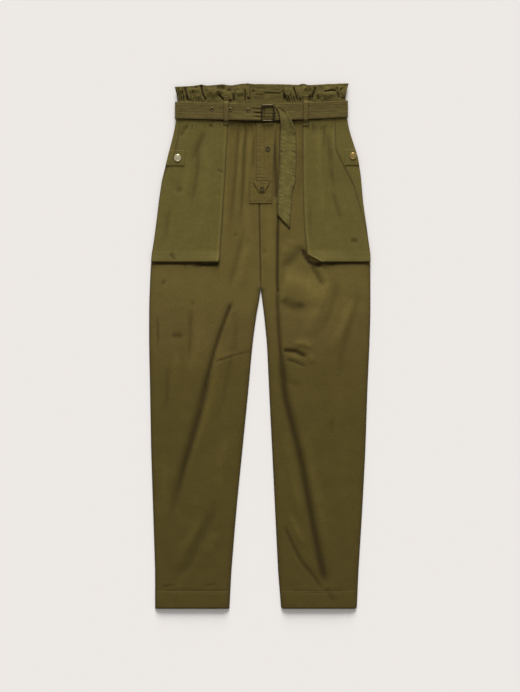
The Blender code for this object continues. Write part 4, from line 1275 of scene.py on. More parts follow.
@dataclass
class Pocket:
    """A patch pocket with its slanting opening, the facing behind it, and the tab with its snap."""

    side: str
    folds: tuple[Fold, ...]
    bottom: float = 726.0
    lift: float = 3.9  # how far the free bottom edge stands off the leg
    wall: float = 0.9

    def build(self, wardrobe: Wardrobe) -> None:
        """Sews the facing, the patch and the tab.

        Args:
            wardrobe: the finishes.
        """
        front = f"front_panel_{self.side}"
        self.facing(wardrobe, front)
        self.patch(wardrobe, front)
        self.tab(wardrobe, front)

    def facing(self, wardrobe: Wardrobe, front: str) -> None:
        """Sews the piece that shows in the opening.

        Args:
            wardrobe: the finishes.
            front: the leg panel under it.
        """
        pattern = Pattern(f"hip_facing_{self.side}")
        rows, columns = 70, 14
        ups = np.linspace(pattern.box()[0][1] + 0.1, 1028.0, rows + 1)
        left, right = pattern.line(ups, soften=3)
        x = between(left, right, crowded_ends(columns, 0.5))
        up = np.broadcast_to(ups[:, None], x.shape)
        z = PILE.over(x, up, [front], 1.5) + LYING_GAP + CLOTH_WALL
        # Painted shadow just below the belt.
        piece = sewn_cloth(f"hip_facing_cloth_{self.side}", np.stack([x, up, z], axis=2), wardrobe.twill_pocket,
                           shade=under_belt(x, up))
        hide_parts(f"hip_facing_{self.side}")

    def patch(self, wardrobe: Wardrobe, front: str) -> None:
        """Sews the patch, its bottom edge standing off the leg.

        Args:
            wardrobe: the finishes.
            front: the leg panel under it.
        """
        pattern = Pattern(f"pocket_patch_{self.side}")
        rows, columns = 124, 58
        ups = np.linspace(self.bottom + 0.2, 1031.0, rows + 1)
        left, right = pattern.line(ups, soften=0)
        keep = 12
        left[keep:], right[keep:] = smoothed(left, 3)[keep:], smoothed(right, 3)[keep:]
        x = between(left, right, crowded_ends(columns, 0.6))
        up = np.broadcast_to(ups[:, None], x.shape).copy()
        inner = right if self.side == "right" else left
        outer = left if self.side == "right" else right
        corner, far = inner[0], outer[0]
        from_corner = np.abs(x - corner) / abs(far - corner)
        near = 1.0 - ramp(up - self.bottom, 0.0, 26.0)
        uneven = 0.60 + 0.25 * np.cos(1.5 * math.pi * from_corner) + 0.3 * bell(from_corner, 0.12)
        uneven = uneven + 0.12 * ripple(x, up * 0.3, 22.0, 3.0)
        off_inner = np.abs(x - inner[:, None])
        off_outer = np.abs(x - outer[:, None])
        rim = 0.9 * bell(off_inner - 3.0, 3.0) * (1.0 - ramp(up, 760.0, 900.0))
        rise, shade = creased(self.folds, x, up)
        waves = 0.35 * ripple(x, up, 48.0, 1.7 if self.side == "right" else 6.2)
        inside = rounded(off_inner, 8.0) * rounded(off_outer, 8.0) * ramp(up, self.bottom, self.bottom + 8.0)
        rows_sewn = groove(up - self.bottom - 6.5, 1.5, 0.35) + groove(up - self.bottom - 13.0, 1.5, 0.35)
        edge_sewn = groove(off_inner - 2.6, 1.2, 0.25) + groove(off_outer - 3.0, 1.2, 0.25)
        z = (PILE.over(x, up, [front, f"hip_facing_cloth_{self.side}"], 3.0) + 0.45 + self.wall
             + self.lift * near * uneven + rim + (rise + waves) * inside * (1.0 - ramp(up, 1000.0, 1020.0))
             + rows_sewn + edge_sewn)
        # Painted shade and highlight from the folds and the relief, painted shade along the edges and the free
        # bottom edge, a painted highlight beside the inner edge, and painted shadow just below the belt.
        shade = shade * inside + hollows(z, 3, 0.12)
        shade = shade + 0.5 * bell(off_inner, 1.4) + 0.5 * bell(off_outer, 1.7)
        shade = shade + 0.4 * bell(up - self.bottom, 1.6)
        shade = shade - 0.35 * bell(off_inner - 4.4, 2.0)
        shade = mix(shade, 1.0, under_belt(x, up))
        ceiling = 7.4
        z = np.where(up > 1000.0, mix(z, np.minimum(z, ceiling), ramp(up, 1000.0, 1018.0)), z)
        piece = sewn_cloth(f"pocket_cloth_{self.side}", np.stack([x, up, z], axis=2), wardrobe.twill_pocket,
                           wall=self.wall, shade=shade)
        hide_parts(f"pocket_patch_{self.side}")

    def tab(self, wardrobe: Wardrobe, front: str) -> None:
        """Sews the tab that the snap closes.

        Args:
            wardrobe: the finishes.
            front: the leg panel under it.
        """
        pattern = Pattern(f"pocket_tab_{self.side}")
        low, high = pattern.box()
        rows, columns = 18, 22
        ups = np.linspace(low[1] + 0.1, high[1] - 0.1, rows + 1)
        left, right = pattern.line(ups)
        x = between(left, right, np.linspace(0.0, 1.0, columns + 1))
        up = np.broadcast_to(ups[:, None], x.shape)
        below = [front, f"hip_facing_cloth_{self.side}", f"pocket_cloth_{self.side}"]
        sewn = groove(up - low[1] - 3.0, 1.2, 0.25) + groove(high[1] - up - 3.0, 1.2, 0.25)
        z = PILE.over(x, up, below, 2.5) + LYING_GAP + CLOTH_WALL + sewn
        piece = sewn_cloth(f"pocket_tab_cloth_{self.side}", np.stack([x, up, z], axis=2), wardrobe.twill_pocket)
        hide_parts(f"pocket_tab_{self.side}")

    def stitch(self, thread: Material) -> None:
        """Sews the patch's double bottom rows, its edges and the tab.

        Args:
            thread: the thread's finish.
        """
        pattern = Pattern(f"pocket_patch_{self.side}")
        sign = -1.0 if self.side == "right" else 1.0
        sewing = Stitching(f"pocket_stitching_{self.side}", thread)
        for off in (6.5, 13.0):
            left, right = pattern.span(self.bottom + off)
            sewing.run([(left + 3.5, self.bottom + off), (right - 3.5, self.bottom + off)])
        ups = np.linspace(self.bottom + 4.0, 1014.0, 60)
        left, right = pattern.line(ups, soften=3)
        inner, outer = (right, left) if self.side == "right" else (left, right)
        sewing.run(list(zip(inner + sign * 2.6, ups)))
        opening = ups > (925.0 if self.side == "right" else 800.0)
        sewing.run(list(zip((outer - sign * 3.0)[opening], ups[opening])))
        sewing.run(list(zip((outer - sign * 8.5)[opening], ups[opening])))
        tab = Pattern(f"pocket_tab_{self.side}")
        low, high = tab.box()
        for level in (low[1] + 3.0, high[1] - 3.0):
            left_x, right_x = tab.span(level)
            sewing.run([(left_x + 2.0, level), (right_x - 2.0, level)])
        sewing.sew()


# Each fold's last number is painted shade in its trough, or, below 0, a painted highlight on its ridge.
RIGHT_POCKET_FOLDS = (
    Fold(((-114, 1006), (-121, 986), (-133, 957), (-140, 930)), -0.9, 6.5, 8, 0.3, 0.4, 0.42),
    Fold(((-103, 1016), (-103.6, 1006)), -1.4, 3.4, 3.4, 0.1, 0.4, 0.6),
    *fine_pleats(-160, -131, 4, 1001, 1017, -3, 0.9),
    *fine_pleats(-117, -84, 5, 1005, 1017, 1.5, 0.7),
    Fold(((-150, 1014), (-157, 1004), (-168, 984)), -1.2, 4, 4, 0.1, 0.3, 0.35),
    Fold(((-129, 965), (-130, 916), (-139, 863), (-148, 830)), -1.2, 4.5, 5, 0.2, 0.4, 0.26),
    Fold(((-112, 985), (-113, 920), (-118, 830), (-121, 770)), 1, 11, 11, 0.3, 0.4, -0.16),
    Fold(((-148, 950), (-152, 900), (-164, 840)), 1, 8, 8, 0.3, 0.4, -0.2),
    Fold(((-91, 918), (-76, 912)), -0.8, 2.4, 2.4, 0.2, 0.1, 0.3),
    Fold(((-188, 745), (-176, 727)), -1.2, 2.6, 2.6, 0.2, 0.1, 0.6),
    Fold(((-160, 880), (-178, 872)), -1, 6, 6, 0.3, 0.4, 0.24),
    Fold(((-186, 850), (-196, 790), (-200, 750)), -1, 5, 5, 0.3, 0.4, 0.22),
)

# Each fold's last number is painted shade in its trough, or, below 0, a painted highlight on its ridge.
LEFT_POCKET_FOLDS = (
    Fold(((112, 1016), (112, 985)), -1.2, 4, 4, 0.1, 0.5, 0.3),
    *fine_pleats(101, 125, 4, 1000, 1018, 2.5, 0.9),
    *fine_pleats(140, 171, 4, 1005, 1017, -1.5, 0.7),
    Fold(((133, 1014), (135, 990), (135, 950)), -1.2, 4, 4, 0.1, 0.4, 0.32),
    Fold(((140, 1000), (146, 945), (150, 905), (158, 860)), -1.4, 5, 5, 0.2, 0.4, 0.32),
    Fold(((152, 1010), (155, 960), (162, 915)), 1.2, 4.5, 4.5, 0.2, 0.4, -0.25),
    Fold(((121, 1000), (124, 940), (124, 880)), 1, 6, 6, 0.2, 0.4, -0.18),
    Fold(((150, 880), (160, 842), (172, 804)), -1, 5, 5, 0.3, 0.3, 0.26),
    Fold(((189, 771), (206, 768)), -1.2, 5, 5, 0.2, 0.3, 0.4),
    Fold(((120, 930), (130, 860), (134, 790)), 1, 9, 9, 0.3, 0.4, -0.16),
    Fold(((104, 850), (104, 790), (112, 750)), -0.9, 5, 5, 0.3, 0.4, 0.18),
)


# Fly


@dataclass
class Fly:
    """The fly's placket, the box at its foot with a pointed tab, and their stitching."""

    legs: tuple[str, ...] = ("front_panel_right", "front_panel_left")
    # The J row, the placket's rows, the box's frame, the centre seam and the tab's point
    sewn: tuple[tuple[tuple[float, float], ...], ...] = (
        ((-7.9, 1008.5), (2.6, 1008.5), (7.6, 1004.5), (9, 998), (9.2, 957)),
        ((-5, 1012), (-5, 902)),
        ((31, 1012), (27.5, 972), (25, 938), (23.4, 905)),
        ((-22.5, 903), (26, 903)), ((-20, 891.5), (23, 891.5)), ((-20, 851.5), (23, 851.5)),
        ((-20, 851.5), (-20, 891.5)), ((23, 851.5), (23, 891.5)),
        ((-4.4, 845), (-3.6, 760), (-2, 690)),
        ((-12.5, 891), (-1, 874.5), (8, 874.5), (19, 891)))

    def cover(self, name: str, node: str, below: Sequence[str], rows: int, columns: int,
              extra: Height, wardrobe: Wardrobe) -> Piece:
        """Sews one flat piece over its solid, lying on what is below it.

        Args:
            name: the piece's name.
            node: the solid it stands for.
            below: the pieces it lies on.
            rows: steps along it.
            columns: steps across it.
            extra: its own relief.
            wardrobe: the finishes.
        Returns:
            the piece.
        """
        pattern = Pattern(node)
        low, high = pattern.box()
        ups = np.linspace(low[1] + 0.1, high[1] - 0.1, rows + 1)
        left, right = pattern.line(ups)
        x = between(left, right, np.linspace(0.0, 1.0, columns + 1))
        up = np.broadcast_to(ups[:, None], x.shape)
        z = PILE.over(x, up, below, 2.0) + LYING_GAP + CLOTH_WALL + extra(x, up)
        z = np.where(up > 1000.0, np.minimum(z, 7.5), z)
        sides = np.minimum(x - left[:, None], right[:, None] - x)
        border = np.minimum(sides, np.minimum(up - ups[0], ups[-1] - up))
        # Painted shade along the border and in the hollows, and painted shadow just below the belt.
        shade = np.maximum(0.4 * bell(border, 1.1) + hollows(z, 3, 0.45), under_belt(x, up))
        piece = sewn_cloth(name, np.stack([x, up, z], axis=2), wardrobe.twill, shade=shade)
        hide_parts(node)
        return piece

    def build(self, wardrobe: Wardrobe) -> None:
        """Sews the placket, the box and the tab.

        Args:
            wardrobe: the finishes.
        """

        def placket(x: Points, up: Points) -> Points:
            """The J-shaped row pulls a channel, and the outer row puckers.

            Args:
                x: places across.
                up: places along.
            Returns:
                its relief.
            """
            beat = np.sin(up / 1.15 + 1.1 * np.sin(up / 13.0)) * np.abs(ripple(x * 0.3, up, 16.0, 5.1)) * 2.0
            pucker = 0.4 * beat * bell(x + 1.0, 6.0) * (1.0 - ramp(up, 985.0, 1003.0))
            return groove(x - 9.0, 1.3, 0.6) * ramp(up, 905.0, 925.0) + pucker + 0.35 * ripple(x, up, 11.0, 3.3)

        def box(x: Points, up: Points) -> Points:
            """A stitched frame just inside the edges."""
            rows_sewn = groove(up - 891.0, 1.3, 0.5) + groove(up - 852.0, 1.3, 0.5)
            return rows_sewn + 0.45 * ripple(x, up, 13.0, 8.1)

        self.cover("fly_placket_cloth", "fly_placket", self.legs, 96, 26, placket, wardrobe)
        self.cover("fly_box_cloth", "fly_base", self.legs, 26, 26, box, wardrobe)
        self.cover("fly_tab_cloth", "fly_tab", ("fly_box_cloth",), 14, 14, lambda x, up: x * 0.0, wardrobe)

    def stitch(self, thread: Material) -> None:
        """Sews the J row, the placket's rows, the box and the centre seam.

        Args:
            thread: the thread's finish.
        """
        sewing = Stitching("fly_stitching", thread)
        for route in self.sewn:
            sewing.run(route)
        sewing.sew()


# Belt, tail and loops


@dataclass
class Belt:
    """The stiffened belt: a flat band round the waist, sewn in rows, with a free end that hangs down."""

    width: float = 35.0
    wall: float = 1.6
    face: float = 9.7
    behind: float = 1.3
    right_end: float = -178.0
    left_end: float = 184.0
    front_start: float = 30.0
    rows_sewn: tuple[float, ...] = (-14.8, -9.0, -3.0, 3.0, 9.0, 14.8)
    eyes: tuple[float, ...] = (-100.5, -62.5, -25.0)
    # The prong's slit with painted shade in it, painted shade inside the buckle, and painted shadow beside the
    # turned-down tail
    by_the_buckle: tuple[Fold, ...] = (
        Fold(((-12.5, 1038.2), (6, 1037.6)), -1.8, 0.9, 0.9, 0.1, 0.05, 1),
        Fold(((8, 1049.6), (27, 1049.8)), -0.6, 1.4, 1.2, 0.05, 0.05, 0.9),
        Fold(((9, 1022.6), (27, 1022.4)), -0.6, 1.2, 1.6, 0.05, 0.05, 0.9),
        Fold(((8.6, 1048), (8.8, 1024)), -0.6, 2.2, 1.4, 0.05, 0.05, 0.6),
        Fold(((31, 1052), (36.5, 1046), (40, 1038), (41.8, 1028), (43, 1014)), -0.4, 2, 2.4, 0.12, 0.02, 1))
    # How far its lower border stands off the cloth, along the garment's front
    slack: tuple[tuple[float, float], ...] = (
        (-178, 0.2), (-120, 0.8), (-70, 0.9), (-50, 1.6), (-24, 2.6), (-10, 1.6), (0, 0.3), (34, 0.3),
        (62, 1.7), (92, 1.2), (120, 0.9), (184, 0.3))

    def __post_init__(self) -> None:
        """Reads the belt's line from its solid."""
        pattern = Pattern("belt")
        self.places = np.linspace(-170.0, 176.0, 60)
        low, high = pattern.line(self.places, axis=0, soften=4)
        self.line = (low + high) / 2.0

    def centre(self, x: Any) -> Any:
        """The height of the belt's middle at x."""
        return np.interp(x, self.places, self.line)

    def route(self) -> Points:
        """The outer face's way round, as (x, z): front, end turn, back, end turn, front again.

        Returns:
            the points in order.
        """
        radius = (self.face - self.behind) / 2
        middle = (self.face + self.behind) / 2
        turn = np.linspace(0.0, math.pi, 15)[1:-1]
        run = np.linspace(self.front_start, self.right_end + radius, 110)
        points = [(x, self.face) for x in run]
        points += [(self.right_end + radius - radius * math.sin(a), middle + radius * math.cos(a))
                   for a in turn]
        points += [(x, self.behind) for x in np.linspace(self.right_end + radius, self.left_end - radius, 60)]
        points += [(self.left_end - radius + radius * math.sin(a), middle - radius * math.cos(a))
                   for a in turn]
        points += [(x, self.face) for x in np.linspace(self.left_end - radius, self.front_start + 1.0, 80)]
        return np.array(points)

    def build(self, wardrobe: Wardrobe) -> None:
        """Sews the band.

        Args:
            wardrobe: the finishes.
        """
        route = self.route()
        across = np.linspace(-self.width / 2, self.width / 2, 43)
        x = np.broadcast_to(route[:, :1], (len(route), len(across)))
        base = np.broadcast_to(route[:, 1:], x.shape)
        off = np.broadcast_to(across[None, :], x.shape)
        up = self.centre(x) + off
        front = ramp(base, self.face - 1.0, self.face - 0.1)
        rise = sum(groove(off - row, 1.0, 0.22) for row in self.rows_sewn)
        rise = rise - 0.55 * (1.0 - rounded(self.width / 2 - np.abs(off), 2.0))
        fan = np.sin(off * 0.75 + 0.5 * np.sin(x * 0.11)) * bell(x + 5.0, 10.0) * 0.6
        waves = 0.35 * ripple(x, up * 2.0, 34.0, 4.4) + 0.2 * ripple(x, up * 3.0, 12.0, 1.4)
        places, stands = np.array(self.slack).T
        tilt = np.interp(x, places, stands) * ramp(-off, -4.0, self.width / 2)
        slit, slit_shade = creased(self.by_the_buckle, x, up)
        wells = sum(2.4 * np.exp(-((np.hypot(x - eye, off - 4.0) / 2.5) ** 6)) for eye in self.eyes)
        z = base + (rise + fan + waves + tilt + slit - wells - 0.1) * front
        # Painted shade along the lower border, on the stitched rows and in the pucker troughs by the buckle;
        # the mottle is the cloth's own tone.
        border = 0.45 * bell(self.width / 2 + off, 1.3)
        sewn = 0.3 * sum(bell(off - row, 0.9) for row in self.rows_sewn)
        mottled = 0.3 * ripple(x, up * 4.0, 17.0, 2.9)
        shade = np.maximum(np.clip(-fan * 0.7, 0.0, 1.0), slit_shade + border + sewn + mottled) * front
        band = sewn_cloth("belt_band", np.stack([x, up, z], axis=2), wardrobe.twill_belt, self.wall,
                          shade=shade)
        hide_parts("belt")

    def stitch(self, thread: Material) -> None:
        """Sews the belt's rows on the part that shows.

        Args:
            thread: the thread's finish.
        """
        sewing = Stitching("belt_stitching", thread, radius=0.26)
        for row in self.rows_sewn:
            for start, end in ((-172.0, 0.0), (44.0, 178.0)):
                sewing.run([(x, float(self.centre(x)) + row) for x in np.linspace(start, end, 24)])
        sewing.sew()


@dataclass
class BeltTail:
    """The belt's free end: it turns down at the buckle in a slanting fold and hangs over the front."""

    wall: float = 1.6
    rows: int = 110
    columns: int = 22
    over_belt: float = 10.0
    # Its left edge and its right edge, as (x, up, x, up), from the buckle down to its slanted end
    edges: tuple[tuple[float, float, float, float], ...] = (
        (32.5, 1050.5, 39, 1052), (37, 1045, 50, 1046), (40.2, 1038, 58, 1038),
        (42, 1029, 63, 1028), (43.3, 1019, 67, 1019), (43.9, 1008, 71, 1008),
        (43.7, 996, 75, 996), (42.5, 970, 75.5, 970), (41.4, 940, 75.5, 940),
        (39.7, 903, 74.5, 903), (39, 892, 73, 890), (38.6, 880, 67.5, 876),
        (38, 862, 65.5, 858), (37, 824.5, 62.5, 797.5))
    sewn: tuple[tuple[tuple[float, float], ...], ...] = (
        ((46.6, 1012), (46.3, 996), (45, 970), (43.9, 940), (42.2, 903), (40.5, 862), (39.6, 826)),
        ((72.4, 994), (73, 970), (73, 940), (72, 903), (70.4, 890), (65, 876), (63, 858),
         (60.4, 806)),
        ((41, 826.5), (60, 806.5)))

    def build(self, wardrobe: Wardrobe) -> None:
        """Sews the tail over everything it crosses.

        Args:
            wardrobe: the finishes.
        """
        marks = np.array(self.edges)
        steps = np.concatenate([[0.0], np.cumsum(np.abs(np.diff(marks[:, 1])))])
        along = np.linspace(0.0, steps[-1], self.rows + 1)
        lx, lu, rx, ru = (smoothed(np.interp(along, steps, marks[:, i]), 3) for i in range(4))
        shares = crowded_ends(self.columns, 0.6)
        x = between(lx, rx, shares)
        up = between(lu, ru, shares)
        names = [n for n in PILE.trees if n != "gathered_back"]
        lying = PILE.over(x, up, names, 3.0) + 0.4 + self.wall
        level = np.maximum(lying, mix(lying, self.over_belt + self.wall, ramp(up, 985.0, 1019.0)))
        level = mix(level, smoothed_rows(level, 5), 0.85)
        from_left, from_right = np.abs(x - lx[:, None]), np.abs(rx[:, None] - x)
        edge = groove(from_left - 2.4, 1.1, 0.3) + groove(from_right - 2.4, 1.1, 0.3)
        beat = np.sin(up * 0.62 + 0.25 * x + 2.1 * np.sin(up * 0.11))
        hanging = 1.0 - ramp(up, 1002.0, 1014.0)
        beat = beat * (0.15 + 1.3 * np.abs(ripple(x * 0.2, up, 17.0, 2.2))) * hanging
        pucker = 0.7 * beat * (bell(from_left - 4.0, 4.0) + bell(from_right - 4.0, 4.0))
        pucker = pucker + 0.5 * ripple(x, up, 18.0, 7.7) + 0.25 * ripple(x * 1.5, up, 7.0, 5.1)
        roll = 1.3 * bell(from_right - 1.5, 2.6) * ramp(up, 990.0, 1005.0)
        sag = -0.6 * bell(from_right - 7.5, 4.0) * ramp(up, 985.0, 1000.0)
        relief = edge + pucker + roll + sag
        z = level + relief
        mottled = 0.34 * ripple(x * 1.6, up, 15.0, 3.8) + 0.2 * ripple(x * 2.0, up, 6.0, 8.2)
        # Painted shade and highlight from the relief, and painted shade along both edges; the mottle is the
        # cloth's own tone.
        shade = (hollows(relief, 4, 0.4) + mottled + 0.4 * bell(from_left, 1.5)
                 + 0.45 * bell(from_right, 1.3) * hanging)
        tail = sewn_cloth("belt_tail_cloth", np.stack([x, up, z], axis=2)[::-1], wardrobe.twill_tail_lit,
                          self.wall, shade=shade[::-1])
        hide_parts("belt_tail")

    def stitch(self, thread: Material) -> None:
        """Sews the edge rows that pucker the tail.

        Args:
            thread: the thread's finish.
        """
        sewing = Stitching("tail_stitching", thread, pitch=4.4)
        for route in self.sewn:
            sewing.run(route)
        sewing.sew()


@dataclass
class Loop:
    """One belt loop of folded cloth."""

    node: str
    x: float
    foot: float
    top: float
    over: float | None  # its level over the belt, or nothing for a loop that passes under it
    width: float = 10.0
    wall: float = 0.9

    def build(self, wardrobe: Wardrobe, centre: float) -> None:
        """Sews the loop, arched over the belt or flat under it.

        Args:
            wardrobe: the finishes.
            centre: the height of the belt's middle there.
        """
        half = 18.5
        ups = np.unique(np.concatenate([
            np.linspace(self.foot, self.top, 34),
            centre + half * np.array([-1.22, -1.12, -1.05, -1.0, 1.0, 1.05, 1.12, 1.22])]))
        ups = ups[(ups >= self.foot) & (ups <= self.top)]
        shares = crowded_ends(10, 0.5)
        flare = 1.0 + 0.18 * (ramp(ups, centre + half, self.top) + ramp(-ups, -(centre - half), -self.foot))
        x = self.x + self.width * flare[:, None] * (shares[None, :] - 0.5)
        up = np.broadcast_to(ups[:, None], x.shape)
        off = np.abs(up - centre)
        if self.over is None:
            z = 0.95 + 1.75 * ramp(off, half, half + 3.0)
        else:
            names = [n for n in PILE.trees if n != "gathered_back"]
            lying = PILE.over(x, up, names, 1.5) + LYING_GAP + self.wall
            over = max(self.over + self.wall, float(lying[off < half].max()))
            z = np.maximum(lying, mix(over, lying, ramp(off, half - 0.5, half + 2.5)))
            z = mix(z, smoothed_rows(z, 2), 0.6)
            z = z + groove(np.abs(x - self.x) - 3.4, 0.8, 0.15) + 0.2 * np.cos((x - self.x) / self.width * 2.6)
        side = self.width * flare[:, None] / 2 - np.abs(x - self.x)
        # Painted shade along the loop's two sides.
        piece = sewn_cloth(f"{self.node}_cloth", np.stack([x, up, z], axis=2), wardrobe.twill_belt,
                           wall=self.wall, shade=0.6 * bell(side, 0.9))
        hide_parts(self.node)


@dataclass
class Loops:
    """The two loops that show and the three behind."""

    front: tuple[Loop, ...] = (
        Loop("loop_front_right", -70.6, 1012.5, 1072.0, 10.9),
        Loop("loop_front_left", 95.8, 1010.5, 1074.5, 10.0))
    back: tuple[tuple[str, float], ...] = (
        ("loop_back_right", -92.0), ("loop_back_centre", 1.0), ("loop_back_left", 96.0))

    def build(self, wardrobe: Wardrobe, belt: Belt) -> None:
        """Sews all five.

        Args:
            wardrobe: the finishes.
            belt: the belt they hold.
        """
        for loop in self.front:
            loop.build(wardrobe, float(belt.centre(loop.x)))
        for node, x in self.back:
            middle = float(belt.centre(x))
            Loop(node, x, middle - 26.0, middle + 23.5, None).build(wardrobe, middle)

    def stitch(self, thread: Material) -> None:
        """Sews the edges and bartacks of the loops that show.

        Args:
            thread: the thread's finish.
        """
        sewing = Stitching("loop_stitching", thread, pitch=3.6, length=2.8, radius=0.26)
        for loop in self.front:
            for shift in (-3.4, 3.4):
                sewing.run([(loop.x + shift, loop.foot + 2.0), (loop.x + shift, loop.top - 2.0)])
            sewing.bartack(loop.x, loop.foot + 1.8, 9.0)
            sewing.bartack(loop.x, loop.top - 1.8, 9.0)
        sewing.sew()


# Fittings


def lathe(name: str, x: float, up: float, z: float, profile: Sequence[tuple[float, float]],
          material: Material, steps: int = 56) -> Piece:
    """A turned piece from a profile of (radius, height), closed at the axis or on itself.

    Args:
        name: the piece's name.
        x: its centre across.
        up: its centre along.
        z: the level its heights count from.
        profile: points from inside to outside and back, in millimetres.
        material: its finish.
        steps: faces round it.
    Returns:
        the object.
    """
    closed = profile[0][0] > 1e-6
    corners: list[tuple[float, float, float]] = []
    rings: list[list[int]] = []
    for radius, height in profile:
        first = len(corners)
        if radius < 1e-6:
            corners.append((x, up, z + height))
            rings.append([first] * steps)
            continue
        corners += [(x + radius * math.cos(math.tau * i / steps), up + radius * math.sin(math.tau * i / steps),
                     z + height) for i in range(steps)]
        rings.append(list(range(first, first + steps)))
    pairs = list(zip(rings, rings[1:])) + ([(rings[-1], rings[0])] if closed else [])
    faces = []
    for a, b in pairs:
        for i in range(steps):
            j = (i + 1) % steps
            faces.append(tuple(dict.fromkeys((a[i], b[i], b[j], a[j]))))
    return new_piece(name, np.array(corners), faces, material)


def bent_wire(name: str, route: Points, radius: float | Points, closed: bool, material: Material,
              sides: int = 14) -> Piece:
    """A round bar along a route in millimetres, its ends rounded.

    Args:
        name: the piece's name.
        route: its centre line, as (x, up, z).
        radius: one radius, or one for each point.
        closed: whether it joins up with itself.
        material: its finish.
        sides: faces round it.
    Returns:
        the object.
    """
    count = len(route)
    sizes = np.broadcast_to(np.asarray(radius, float), (count,))
    if closed:
        ahead = np.roll(route, -1, axis=0) - np.roll(route, 1, axis=0)
    else:
        ahead = np.gradient(route, axis=0)
    ahead /= np.linalg.norm(ahead, axis=1, keepdims=True)
    upright = np.array([0.0, 0.0, 1.0])
    corners, faces = [], []
    for place, way, size in zip(route, ahead, sizes):
        level = np.cross(way, upright)
        if np.linalg.norm(level) < 1e-3:
            level = np.array([0.0, 1.0, 0.0])
        level /= np.linalg.norm(level)
        high = np.cross(level, way)
        for i in range(sides):
            angle = math.tau * i / sides
            corners.append(place + size * (level * math.cos(angle) + high * math.sin(angle)))
    for ring in range(count if closed else count - 1):
        a, b = ring * sides, ((ring + 1) % count) * sides
        for i in range(sides):
            j = (i + 1) % sides
            faces.append((a + i, b + i, b + j, a + j))
    if not closed:
        faces.append(tuple(range(sides)))
        faces.append(tuple((count - 1) * sides + i for i in range(sides - 1, -1, -1)))
    return new_piece(name, np.array(corners), faces, material)


